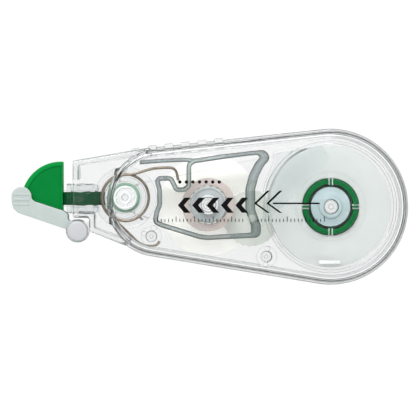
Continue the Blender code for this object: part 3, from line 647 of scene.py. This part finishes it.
def whole_case():
    case = loft("case", case_rows(BODY_DEPTH, (0.0, TOP_Z), CASE_EDGE_R, 8))
    lip = loft("lip", case_rows(0.0, LIP_Z, 0.3, 4))
    nose = slab("nose", [nose_outline()], NOSE_Z, 0.6, 4)
    ear = ring("ear", KNOB, (0.0, EAR_R), EAR_Z, 0.2)
    neck = slab("neck", [rectangle((-31.0, -28.6), (-6.2, -3.6))], EAR_Z, 0.0)
    join(case, lip, nose, ear, neck, *grip_ribs())
    hollow_z = (FACE_WALL, TOP_Z - FACE_WALL)
    hollow = loft("hollow", case_rows(WALL_DEPTH, hollow_z, 0.9, 5))
    nose_z = (NOSE_Z[0] + NOSE_WALL, NOSE_Z[1] - NOSE_WALL)
    nose_hollow = slab("nose_hollow", [nose_outline(NOSE_WALL)], nose_z, 0.5, 5)
    mouth_x = (NOSE_FRONT_X - 1.0, NOSE_FRONT_X + NOSE_WALL + 0.3)
    mouth = slab("mouth", [rectangle(mouth_x, MOUTH_Y)], nose_z, 0.0)
    bore = ring("bore", KNOB, (0.0, PIN_R + 0.1), (EAR_Z[0] - 1.0, EAR_Z[1] + 1.0), 0.0)
    return cut(case, hollow, nose_hollow, mouth, bore)


def half_space(z_range):
    return slab("half", [rectangle((-60.0, 60.0), (-30.0, 30.0))], z_range, 0.0)


def copy_of(obj, name):
    copied = bpy.data.objects.new(name, obj.data.copy())
    bpy.context.scene.collection.objects.link(copied)
    return copied


def post(centre, radius, top, tip_radius, tip_top):
    foot = FACE_WALL / 2.0
    profile = [(0.0, foot), (radius, foot), (radius, top - 0.15), (radius - 0.15, top)]
    profile += [(tip_radius, top), (tip_radius, tip_top - 0.2), (tip_radius - 0.2, tip_top)]
    return lathe("post", centre, [*profile, (0.0, tip_top)], 48)


def socket(centre, radius, hole_radius, bottom, hole_top):
    roof = TOP_Z - FACE_WALL / 2.0
    profile = [(0.0, hole_top), (hole_radius, hole_top), (hole_radius, bottom)]
    profile += [(radius - 0.15, bottom), (radius, bottom + 0.15), (radius, roof), (0.0, roof)]
    return lathe("socket", centre, profile, 48)


def satellite(centre, radius, bottom):
    roof = TOP_Z - FACE_WALL / 2.0
    return ring("satellite", centre, (0.0, radius), (bottom, roof), 0.15, 32)


def make_shells():
    whole = whole_case()
    back = cut(copy_of(whole, "back_case"), half_space((PARTING[0], TOP_Z + 4.0)))
    join(
        back,
        post(REEL, 1.6, 12.0, 0.7, 13.6),
        post(TAKEUP, 1.2, 11.2, 0.7, 13.0),
        post(PIVOT, 1.2, 9.9, 0.8, 12.9),
        *[post(peg, 1.35, PARTING[0], 0.5, 10.4) for peg in PEGS],
    )
    put(back, CLEAR, "case", "clear_plastic", "back_shell")

    front = cut(whole, half_space((-4.0, PARTING[1])))
    front.name = "front_case"
    join(
        front,
        socket(REEL, 1.84, 1.0, 12.3, 13.9),
        socket(TAKEUP, 1.9, 1.0, 11.9, 13.4),
        *[socket(peg, 1.4, 0.8, PARTING[1], 10.7) for peg in PEGS],
    )
    for centre in ((-16.1, -6.5), (-13.7, -5.2), (13.95, -10.2), (13.5, -14.0)):
        join(front, satellite(centre, 0.64, 12.6))
    for peg in PEGS:
        join(front, ring("collar", peg, (2.3, 2.55), (13.9, TOP_Z - 1.0), 0.05, 64))
    divider = [(21.4, 14.3), (15.6, 13.5), (15.2, 12.8), (15.4, 11.1), (13.2, 5.8), (12.6, 3.0)]
    path = round_corners(divider, 1.2, False)
    join(front, slab("divider", wall_loops(path, 0.35, False), (11.8, TOP_Z - 0.7), 0.08))
    put(front, CLEAR, "case", "clear_plastic", "front_shell")


# Guard.


def cheek_outline():
    path = [
        *arc(GUARD_NOSE, GUARD_NOSE_R, -4.0, 180.0, 32),
        (-48.42, 0.9),
        (-48.0, -0.5),
        (-46.9, -1.5),
        *arc(KNOB, KNOB_R, 173.0, 460.0, 48),
        (-34.3, -3.5),
        (-34.75, -3.1),
        (-34.75, -2.1),
        (-35.1, -1.5),
        (-35.9, -0.95),
        (-42.8, 1.3),
        (-43.4, 1.8),
    ]
    return round_corners(path, 0.6, True, 3)


def web_path():
    middle = GUARD_NOSE_R - 0.57
    path = [
        *arc(GUARD_NOSE, middle, 130.0, 180.0, 10),
        (-47.8, 0.85),
        (-47.35, -0.4),
        (-46.5, -1.03),
        (-36.1, -4.62),
    ]
    return round_corners(path, 0.8, False, 3)


def guard_ridges():
    """Three soft ridges across the guard's nose, for a finger nail."""
    ridges = []
    for y in (3.05, 1.75, 0.6):
        reach = 2.05 if y > 1.0 else 1.9
        path = [(GUARD_NOSE[0] - reach, y), (GUARD_NOSE[0] + reach, y)]
        outline = round_corners(wall_loops(path, 0.62, False)[0], 0.3, True, 4)
        ridges.append(slab("ridge", [outline], (CHEEK_Z[1][1] - 0.2, CHEEK_Z[1][1] + 0.14), 0.14))
    return ridges


def make_guard():
    hole = circle(KNOB, PIN_R + 0.05, 48)
    back, front = (slab("guard", [cheek_outline(), hole], z, 0.28, 5) for z in CHEEK_Z)
    web_z = (CHEEK_Z[0][0] + 0.4, CHEEK_Z[1][1] - 0.4)
    web = slab("web", wall_loops(web_path(), 1.0, False), web_z, 0.0)
    join(back, web, front, *guard_ridges())
    back.name = "tip_guard"
    put(back, SMOKE, "guard", "smoke_plastic", "guard_arm")

    pin_low = node_heights("guard_pin")[0]
    knob_low = 13.3
    dome = [(KNOB_R, knob_low), (KNOB_R, 13.75), (2.36, 13.95), (2.18, 14.1), (1.8, 14.17)]
    dome.append((0.0, 14.2))
    profile = [(0.0, pin_low), (PIN_R - 0.15, pin_low), (PIN_R, pin_low + 0.15), (PIN_R, knob_low)]
    knob = lathe("guard_knob", KNOB, profile + dome)
    put(knob, KNOB_GREY, "guard", "knob_plastic", "guard_pin")
    cap = ring("guard_back_cap", KNOB, (PIN_R + 0.08, KNOB_R), node_heights("guard_pin_cap"), 0.25)
    put(cap, KNOB_GREY, "guard", "knob_plastic", "guard_pin_cap")


# Head and holder.


def head_outline(arc_depth, edge_depth):
    """The outline of the head's flanges, with its arc and its straight edges moved inwards."""
    radius = HEAD_ARC_R - arc_depth
    heel_x = HEAD_HEEL[0] - edge_depth
    along = unit(HEAD_TIP, HEAD_HEEL)
    square = (-along[1], along[0])
    to_arc = (HEAD_ARC[0] - HEAD_TIP[0], HEAD_ARC[1] - HEAD_TIP[1])
    rise = to_arc[0] * square[0] + to_arc[1] * square[1] - edge_depth
    foot = (HEAD_ARC[0] - rise * square[0], HEAD_ARC[1] - rise * square[1])
    half_chord = math.sqrt(radius * radius - rise * rise)
    tip = (foot[0] - along[0] * half_chord, foot[1] - along[1] * half_chord)
    heel = (heel_x, foot[1] + along[1] * (heel_x - foot[0]) / along[0])
    start = math.degrees(math.acos((heel_x - HEAD_ARC[0]) / radius))
    end = math.degrees(math.atan2(tip[1] - HEAD_ARC[1], tip[0] - HEAD_ARC[0]))
    return arc(HEAD_ARC, radius, start, end, 48) + [heel]


def head_flange(inner_z, outer_z):
    """One fan-shaped flange. Its outer face has a raised rim round a shallow recess."""
    up = 1.0 if outer_z > inner_z else -1.0
    floor_z = outer_z - RECESS_DEPTH * up
    rows = [
        (head_outline(0.08, 0.08), inner_z),
        (head_outline(0.0, 0.0), inner_z + 0.08 * up),
        (head_outline(0.0, 0.0), outer_z - 0.16 * up),
        (head_outline(0.05, 0.05), outer_z - 0.05 * up),
        (head_outline(0.16, 0.12), outer_z),
        (head_outline(0.84, 0.22), outer_z),
        (head_outline(0.98, 0.28), outer_z - 0.06 * up),
        (head_outline(1.06, 0.32), floor_z + 0.12 * up),
        (head_outline(1.2, 0.4), floor_z),
    ]
    return loft("flange", rows)


def make_head():
    """The flanges with a sheet of painted shade in each recess, the wedge between them, and the stem
    in a darker green that is painted shade.
    """
    heel = [(HEAD_HEEL[0], STEM_Y[0]), (HEAD_HEEL[0], STEM_Y[1])]
    wedge = [*heel, *arc(TIP_CENTRE, TIP_R, 95.0, 265.0, 12)]
    head = slab("tape_head", [wedge], STEM_Z, 0.0)
    join(head, head_flange(5.55, HEAD_Z[0]), head_flange(10.45, HEAD_Z[1]))
    put(head, GREEN, "head", "green_plastic", "transfer_head")
    top, bottom = RECESS_DEPTH - 0.05, RECESS_DEPTH + 0.15
    for low, high in (
        (HEAD_Z[0] + top, HEAD_Z[0] + bottom),
        (HEAD_Z[1] - bottom, HEAD_Z[1] - top),
    ):
        # Each recess floor gets a sheet in the darker green, painted shade under the rim.
        floor = slab("recess_painted_shade_sheet", [head_outline(1.12, 0.36)], (low, high), 0.0)
        put(floor, RECESS_PAINTED_SHADE, "head", "green_plastic", "transfer_head")
    # The stem is a separate piece in the darker green, painted shade on the same plastic as the head.
    stem = slab("stem", [rectangle((HEAD_HEEL[0], STEM_BACK_X), STEM_Y)], STEM_Z, 0.3)
    put(stem, STEM_PAINTED_SHADE, "head", "green_plastic", "transfer_head")


def make_holder():
    sleeve_x, sleeve_y = (-35.0, -27.4), (-1.4, 5.4)
    holder = slab("holder", [rectangle(sleeve_x, sleeve_y, 0.3)], (4.2, 11.8), 0.3)
    collars = (((sleeve_x[0], -33.9), 0.35), ((-32.4, -28.5), 0.0))
    for x_range, proud in collars:
        y_range = (sleeve_y[0] - 0.25, sleeve_y[1] + 0.25)
        outline = rectangle(x_range, y_range, 0.25)
        join(holder, slab("collar", [outline], (4.6, 11.9 + proud), 0.15))
    channel_x, channel_y = (-36.0, -26.4), (-0.35, 4.35)
    cut(holder, slab("channel", [rectangle(channel_x, channel_y)], (5.2, 10.8), 0.0))
    cut(holder, slab("window", [rectangle((-33.2, -32.0), (1.2, 3.0), 0.3)], (10.6, 13.0), 0.0))
    latch_path = round_corners([(-32.1, 1.7), (-30.9, 1.8), (-30.4, 3.4), (-29.3, 3.5)], 0.6, False)
    latch = slab("latch", wall_loops(latch_path, 0.6, False), (11.6, 12.4), 0.2, 4)
    nib = ring("nib", (-32.1, 1.7), (0.35, 0.95), (11.6, 12.3), 0.15, 32)
    disc = ring("disc", PIVOT, (3.15, 7.6), (10.75, 11.2), 0.12)
    tongue = slab("tongue", [rectangle((-27.8, -25.7), (-1.0, 5.0), 0.3)], (10.78, 11.24), 0.08)
    bearing = ring("bearing", PIVOT, (3.9, 5.1), (11.0, 12.8), 0.2)
    inner_lip = ring("inner_lip", PIVOT, (3.15, 4.1), (10.8, 11.35), 0.1)
    join(holder, latch, nib, tongue, disc, bearing, inner_lip)
    put(holder, CLEAR_SMALL, "head", "clear_plastic", "head_holder")
    pale = ring("pale_ring", PIVOT, (2.97, 3.7), node_heights("pivot_ring"), 0.12)
    put(pale, PALE_GREEN, "head", "pale_green_plastic", "pivot_ring")


def make_hub():
    low, high = node_heights("pivot_hub")
    hub = ring("hub", PIVOT, (2.3, 2.85), (low, high), 0.15)
    tube_piece = ring("tube", PIVOT, (0.95, 1.6), (low, high - 0.1), 0.15, 48)
    spokes = []
    for degrees in (0.0, 180.0, 270.0):
        path = [polar(PIVOT, 1.3, degrees), polar(PIVOT, 2.5, degrees)]
        spokes.append(slab("spoke", wall_loops(path, 0.8, False), (low + 0.1, high - 0.4), 0.1))
    join(hub, spokes[0], tube_piece, *spokes[1:])
    hub.name = "hub_with_spokes"
    put(hub, FROSTED, "case", "clear_plastic", "pivot_hub")


def catmull_rom(points, steps):
    """A smooth curve through points, each a tuple of any size."""
    padded = [points[0], *points, points[-1]]
    curve = []
    for i in range(1, len(padded) - 2):
        p0, p1, p2, p3 = padded[i - 1 : i + 3]
        for k in range(steps):
            t = k / steps
            curve.append(
                tuple(
                    0.5 * (2 * b + (c - a) * t + (2 * a - 5 * b + 4 * c - d) * t * t
                           + (3 * b - a - 3 * c + d) * t * t * t)
                    for a, b, c, d in zip(p0, p1, p2, p3)
                )
            )
    return [*curve, points[-1]]


def make_spring():
    low, high = COIL_Z
    start_deg, coil_deg = 225.0, -495.0
    lower = [(-12.3, -8.4), (-13.2, -9.3), (-15.0, -9.5), (-17.3, -8.9), (-20.1, -6.3)]
    upper = [(-18.4, 8.05), (-13.9, 9.3), (-10.0, 9.5), (-8.9, 9.2), (-8.2, 8.3), (-7.8, 6.4)]
    steps = 40
    coil = []
    for i in range(steps + 1):
        share = i / steps
        x, y = polar(PIVOT, COIL_R + 0.1 - 0.2 * share, start_deg + coil_deg * share)
        coil.append((x, y, low + (high - low) * share))
    path = [(x, y, low) for x, y in lower] + coil + [(x, y, high) for x, y in upper]
    spring = tube("return_spring", catmull_rom(path, 4), WIRE_R)
    put(spring, STEEL, "case", "spring_steel", "head_return_spring")


# Tape.


def touch_point(start, centre, radius, side):
    """Where a line from start touches a circle, on its upper (1) or lower (-1) side."""
    towards = math.degrees(math.atan2(centre[1] - start[1], centre[0] - start[0]))
    half = math.degrees(math.asin(radius / math.dist(start, centre)))
    return polar(centre, radius, towards + side * (half + 90.0))


def make_ribbon():
    gap, film = 0.35, 0.08
    top_y, low_y = STEM_Y[1] + gap, STEM_Y[0] - gap
    leave = touch_point((STEM_BACK_X, top_y), REEL, ROLL_R + 0.12, 1.0)
    arrive = touch_point((STEM_BACK_X, low_y), TAKEUP, SPENT_R[1] + 0.1, -1.0)
    far = [leave, (STEM_BACK_X, top_y), (HEAD_HEEL[0], top_y)]
    near = [(HEAD_HEEL[0], low_y), (STEM_BACK_X, low_y), arrive]
    corners = [*far, *arc(TIP_CENTRE, TIP_R + gap, 95.0, 265.0, 16), *near]
    path = []
    for a, b in zip(corners, corners[1:]):
        steps = max(1, int(math.dist(a, b) / 1.5))
        path += [(a[0] + (b[0] - a[0]) * k / steps, a[1] + (b[1] - a[1]) * k / steps)
                 for k in range(steps)]
    path.append(corners[-1])
    ribbon = slab("film_tape", wall_loops(path, film, False), TAPE_Z, 0.0)
    ribbon.data.materials.append(RIBBON)
    ribbon.data.shade_smooth()
    ribbon.data.set_sharp_from_angle(angle=SHARP)
    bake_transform(ribbon)
    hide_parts("tape_ribbon")


# Inner frame.


def make_frame():
    """The clear frame round the take-up chamber. Its edges show teal from the tint in its depth, and
    dark painted shade at glancing angles.
    """
    corners = [
        (-13.1, 6.9), (-12.3, 4.1), (-12.3, 0.4), (-13.0, -1.3), (-13.4, -3.7),
        (-11.6, -4.5), (-2.5, -7.3), (-0.6, -7.5), (11.8, -6.9), (11.7, -4.5), (10.35, -0.8),
        (10.35, 4.3), (11.2, 7.6), (12.6, 10.3), (14.0, 11.9), (13.0, 13.2), (9.7, 12.9),
        (2.7, 12.1), (-4.0, 11.1), (-5.2, 10.2), (-5.2, 5.0), (-6.4, 4.1), (-8.2, 4.1),
        (-9.6, 6.9),
    ]
    wall, extra = 1.2, 1.2
    outer, inner = wall_loops(round_corners(corners, 1.1, True), wall, True)
    # The right-hand side is wider, by moving its inner edge to the left.
    inner = [(x - extra * min(1.0, max(0.0, (x - 7.6) / 2.0)), y) for x, y in inner]
    frame_body = slab("chamber_frame", [outer, inner], FRAME_Z, 0.4, 6)
    tail = [(-3.4, 11.2), (-6.9, 11.4), (-11.6, 11.2), (-17.2, 10.8)]
    tail_z = (FRAME_Z[0] + 0.2, FRAME_Z[1] - 0.2)
    tail_piece = slab("tail", wall_loops(tail, 1.0, False), tail_z, 0.35, 5)
    put(join(frame_body, tail_piece), TEAL, "case", "tinted_plastic", "inner_frame")
    post_z = (GEAR_Z[0] - 0.2, FRAME_Z[1] - 0.2)
    idler_post = ring("idler_post", IDLER, (0.0, 1.0), post_z, 0.15, 48)
    put(idler_post, GREY_PAINTED_GLOW, "case", "tinted_plastic", "inner_frame")
    outline = [(27.4, 14.9), (22.0, 13.9), (16.2, 13.0), (15.8, 12.6), (16.0, 11.0), (13.8, 5.6),
               (13.2, 3.0), (12.6, -5.0), (12.9, -4.9), (29.3, 11.6)]
    window = slab("reel_window", [round_corners(outline, 0.2, True)], (12.6, 12.85), 0.06)
    put(window, WINDOW, "case", "tinted_plastic", "inner_frame")


# Reels and gears.


def gear_outline(centre, teeth, phase):
    """A gear's outline, with the middle of one tooth at the phase angle in degrees."""
    pitch_r = teeth * GEAR_MODULE / 2.0
    step = TURN / teeth
    flank = ((-0.55, 0.56), (0.0, 0.42), (0.4, 0.24))
    tooth = [(radius, -share) for radius, share in flank] + list(flank[::-1])
    outline = []
    for i in range(teeth):
        for radius, share in tooth:
            outline.append(polar(centre, pitch_r + radius, phase + (i + share / 2.0) * step))
    return outline


def meshed_phase(phase, teeth, centre, next_teeth, next_centre):
    """The phase that puts a gap of the next gear where this gear's tooth meets it."""
    direction = math.degrees(math.atan2(next_centre[1] - centre[1], next_centre[0] - centre[0]))
    return direction + 180.0 - (phase - direction) * teeth / next_teeth + 180.0 / next_teeth


def gear_blank(name, centre, teeth, phase, bore_r, top_z):
    loops = [gear_outline(centre, teeth, phase), circle(centre, bore_r, 48)]
    return slab(name, loops, (GEAR_Z[0], top_z), 0.06, 2)


def make_gears():
    idler_phase = meshed_phase(0.0, SUPPLY_TEETH, REEL, IDLER_TEETH, IDLER)
    takeup_phase = meshed_phase(idler_phase, IDLER_TEETH, IDLER, TAKEUP_TEETH, TAKEUP)
    supply_bore, idler_bore, takeup_bore = 1.7, 1.1, 1.3

    supply = gear_blank("reel_gear", REEL, SUPPLY_TEETH, 0.0, supply_bore, GEAR_Z[1])
    put(supply, WHITE, "supply_reel", "white_plastic", "supply_gear")

    idler = gear_blank("idler", IDLER, IDLER_TEETH, idler_phase, idler_bore, IDLER_TOP_Z)
    join(idler, ring("web", IDLER, (idler_bore, 6.7), (IDLER_TOP_Z - 0.08, 5.0), 0.1, 128))
    put(idler, GREY_PAINTED_GLOW, "idler", "grey_plastic", "idler_gear")

    winder = gear_blank("winder", TAKEUP, TAKEUP_TEETH, takeup_phase, takeup_bore, GEAR_Z[1])
    join(winder, ring("sleeve", TAKEUP, (takeup_bore, 1.9), (GEAR_Z[1] - 0.4, 7.6), 0.1, 48))
    put(winder, WHITE, "takeup_drive", "white_plastic", "takeup_gear")


def make_supply_reel():
    inner, outer = 5.55, 6.8
    core = ring("reel_core", REEL, (inner, outer), (5.1, 10.9), 0.12)
    for i in range(SLOT_COUNT):
        degrees = TURN / SLOT_COUNT * i
        reach = [polar(REEL, r, degrees) for r in (5.3, 7.0)]
        cut(core, slab("slot", wall_loops(reach, 1.2, False), (9.9, 12.0), 0.0))
        bar = [polar(REEL, r, degrees) for r in (5.1, 6.75)]
        join(core, slab("bar", wall_loops(bar, 0.4, False), (5.3, 10.8), 0.05))
        key = slab(f"hub_key_{i}", wall_loops(reach, 1.15, False), (9.95, 10.45), 0.08)
        gap = [polar(REEL, r, degrees) for r in (4.9, 7.2)]
        cut(key, slab("gap", wall_loops(gap, 0.5, False), (9.0, 12.0), 0.0))
        put(key, WHITE, "supply_reel", "white_plastic")
    put(core, DARK_GREEN, "supply_reel", "green_plastic", "supply_core")

    profile = [(1.7, 5.1), (4.75, 5.1), (4.9, 5.25), (4.9, 10.1), (4.75, 10.3), (2.95, 10.35),
               (2.8, 10.45), (2.7, 10.9), (2.45, 11.0), (1.7, 11.0)]
    hub = lathe("reel_hub", REEL, profile)
    put(hub, BLUE_GREY, "supply_reel", "blue_grey_plastic", "supply_hub")
    roll = ring("tape_coil", REEL, (7.0, ROLL_R), TAPE_Z, 0.08, 192)
    put(roll, TAPE, "supply_reel", "correction_tape", "tape_roll")

    profile = [(7.1, 10.6), (16.1, 10.6), (16.2, 10.7), (16.2, 11.35), (16.1, 11.45),
               (15.5, 11.45), (15.4, 11.35), (15.35, 11.15), (8.7, 11.15), (8.6, 11.3),
               (8.3, 11.3), (8.2, 11.15), (7.1, 11.15)]
    flange = lathe("reel_flange", REEL, profile, 192)
    tab = slab("flange_tab", [rectangle((26.6, 31.7), (-14.0, -13.1), 0.2)], (11.2, 11.5), 0.1)
    put(tab, FROSTED, "supply_reel", "clear_plastic")
    put(flange, FLANGE, "supply_reel", "clear_plastic", "supply_front_flange")


def make_takeup_reel():
    disc = ring("cream_wheel", TAKEUP, (1.3, 12.2), node_heights("takeup_disc"), 0.15, 192)
    for degrees in (97.0, 263.0):
        mark = ring("mark", polar(TAKEUP, 8.8, degrees), (1.66, 1.8), (2.4, 2.56), 0.04, 48)
        join(disc, mark)
    put(disc, CREAM_PAINTED_GLOW, "takeup_drive", "cream_plastic", "takeup_disc")
    clutch = ring("clutch", TAKEUP, (2.0, 2.9), node_heights("clutch_ring"), 0.15)
    put(clutch, STEEL, "takeup_reel", "spring_steel", "clutch_ring")
    profile = [(3.2, 5.1), (4.35, 5.1), (4.45, 5.2), (4.45, 10.8), (4.3, 10.9), (3.9, 10.9),
               (3.75, 10.7), (2.65, 10.7), (2.5, 10.8), (2.4, 11.4), (2.25, 11.5), (1.3, 11.5),
               (1.3, 8.0), (3.2, 8.0)]
    core = lathe("winding_core", TAKEUP, profile)
    put(core, CORE_GREY, "takeup_reel", "white_plastic", "takeup_core")
    cap = ring("winding_cap", TAKEUP, (1.3, 2.4), (11.5, 11.62), 0.05)
    put(cap, WHITE, "takeup_reel", "white_plastic")
    spent = ring("spent_coil", TAKEUP, SPENT_R, TAPE_Z, 0.08, 128)
    put(spent, SPENT, "takeup_reel", "spent_tape", "spent_tape_roll")


# Generic print on the front face: chevrons that point to the tip, a line, ticks and dots.


def print_shape(name, outline):
    mark = slab(name, [outline], (TOP_Z - 0.005, TOP_Z + 0.02), 0.0)
    return put(mark, INK, "case", None)


def make_print():
    for i in range(5):
        x = -7.9 + 3.5 * i
        outline = [(x, 0.35), (x + 1.6, -1.5), (x + 3.1, -1.5), (x + 1.5, 0.35),
                   (x + 3.1, 2.2), (x + 1.6, 2.2)]
        print_shape(f"chevron_{i}", outline)
    for i, x in enumerate((10.6, 13.6)):
        outline = [(x, 0.8), (x + 3.2, -1.5), (x + 3.9, -1.5), (x + 0.7, 0.8),
                   (x + 3.9, 3.9), (x + 3.2, 3.9)]
        print_shape(f"thin_chevron_{i}", outline)
    print_shape("feed_line", rectangle((15.2, 26.6), (0.6, 1.0)))
    ticks_low = -3.7
    gap = (8.5, 11.0)
    for i in range(46):
        x = -12.9 + 0.9 * i
        height = 1.3 if i % 5 == 0 else 0.75
        if not gap[0] < x < gap[1]:
            print_shape(f"tick_{i}", rectangle((x, x + 0.2), (ticks_low, ticks_low + height)))
    for i in range(7):
        print_shape(f"dot_{i}", circle((-7.4 + 1.6 * i, 6.0), 0.42, 24))


# Stage: pale floor, soft studio light, and the camera straight above.


def make_floor():
    reach = (-1500.0, 1500.0)
    floor = slab("floor", [rectangle(reach, reach)], (-6.0, -0.05), 0.0)
    material, _, shader = start_material("floor")
    shader.inputs["Base Color"].default_value = (0.1, 0.1, 0.1, 1.0)
    shader.inputs["Roughness"].default_value = 0.9
    shader.inputs["Emission Color"].default_value = (1.0, 1.0, 1.0, 1.0)
    shader.inputs["Emission Strength"].default_value = 0.93
    floor.data.materials.append(material)


def make_world():
    """A studio sky: dark at the horizon, white above, and dim again straight overhead."""
    world = bpy.data.worlds.new("studio")
    bpy.context.scene.world = world
    world.use_nodes = True
    tree = world.node_tree
    background = tree.nodes["Background"]
    place = tree.nodes.new("ShaderNodeTexCoord")
    split = tree.nodes.new("ShaderNodeSeparateXYZ")
    tree.links.new(place.outputs["Generated"], split.inputs[0])
    ramp = tree.nodes.new("ShaderNodeValToRGB")
    stops = ramp.color_ramp.elements
    stops[0].position = 0.0
    stops[0].color = (0.10, 0.11, 0.11, 1.0)
    stops[1].position = 1.0
    stops[1].color = (0.12, 0.12, 0.12, 1.0)
    for position in (0.6, 0.93):
        stops.new(position).color = (1.0, 1.0, 1.0, 1.0)
    tree.links.new(split.outputs["Z"], ramp.inputs[0])
    tree.links.new(ramp.outputs[0], background.inputs["Color"])
    background.inputs["Strength"].default_value = 0.8


def make_lamps():
    for name, where, power, size in (
        ("key", (-0.15, 0.55, 0.6), 3.6, 0.5),
        ("fill", (0.5, -0.45, 0.55), 1.3, 0.5),
    ):
        light = bpy.data.lights.new(name, "AREA")
        light.energy = power
        light.size = size
        lamp = bpy.data.objects.new(name, light)
        lamp.location = where
        lamp.rotation_euler = (-Vector(where)).to_track_quat("-Z", "Y").to_euler()
        bpy.context.scene.collection.objects.link(lamp)


def make_camera():
    camera = bpy.data.cameras.new("camera")
    camera.lens = 300.0
    camera.sensor_width = 36.0
    camera_object = bpy.data.objects.new("camera", camera)
    camera_object.location = (-0.55 * MM, -0.32 * MM, 858.0 * MM)
    bpy.context.scene.collection.objects.link(camera_object)
    bpy.context.scene.camera = camera_object


def set_up_render():
    scene = bpy.context.scene
    scene.view_settings.view_transform = "Standard"
    scene.cycles.max_bounces = 24
    scene.cycles.transmission_bounces = 24
    scene.cycles.transparent_max_bounces = 24
    scene.cycles.use_denoising = True


make_shells()
make_guard()
make_head()
make_holder()
make_hub()
make_spring()
make_ribbon()
make_frame()
make_gears()
make_supply_reel()
make_takeup_reel()
make_print()
make_floor()
make_world()
make_lamps()
make_camera()
set_up_render()
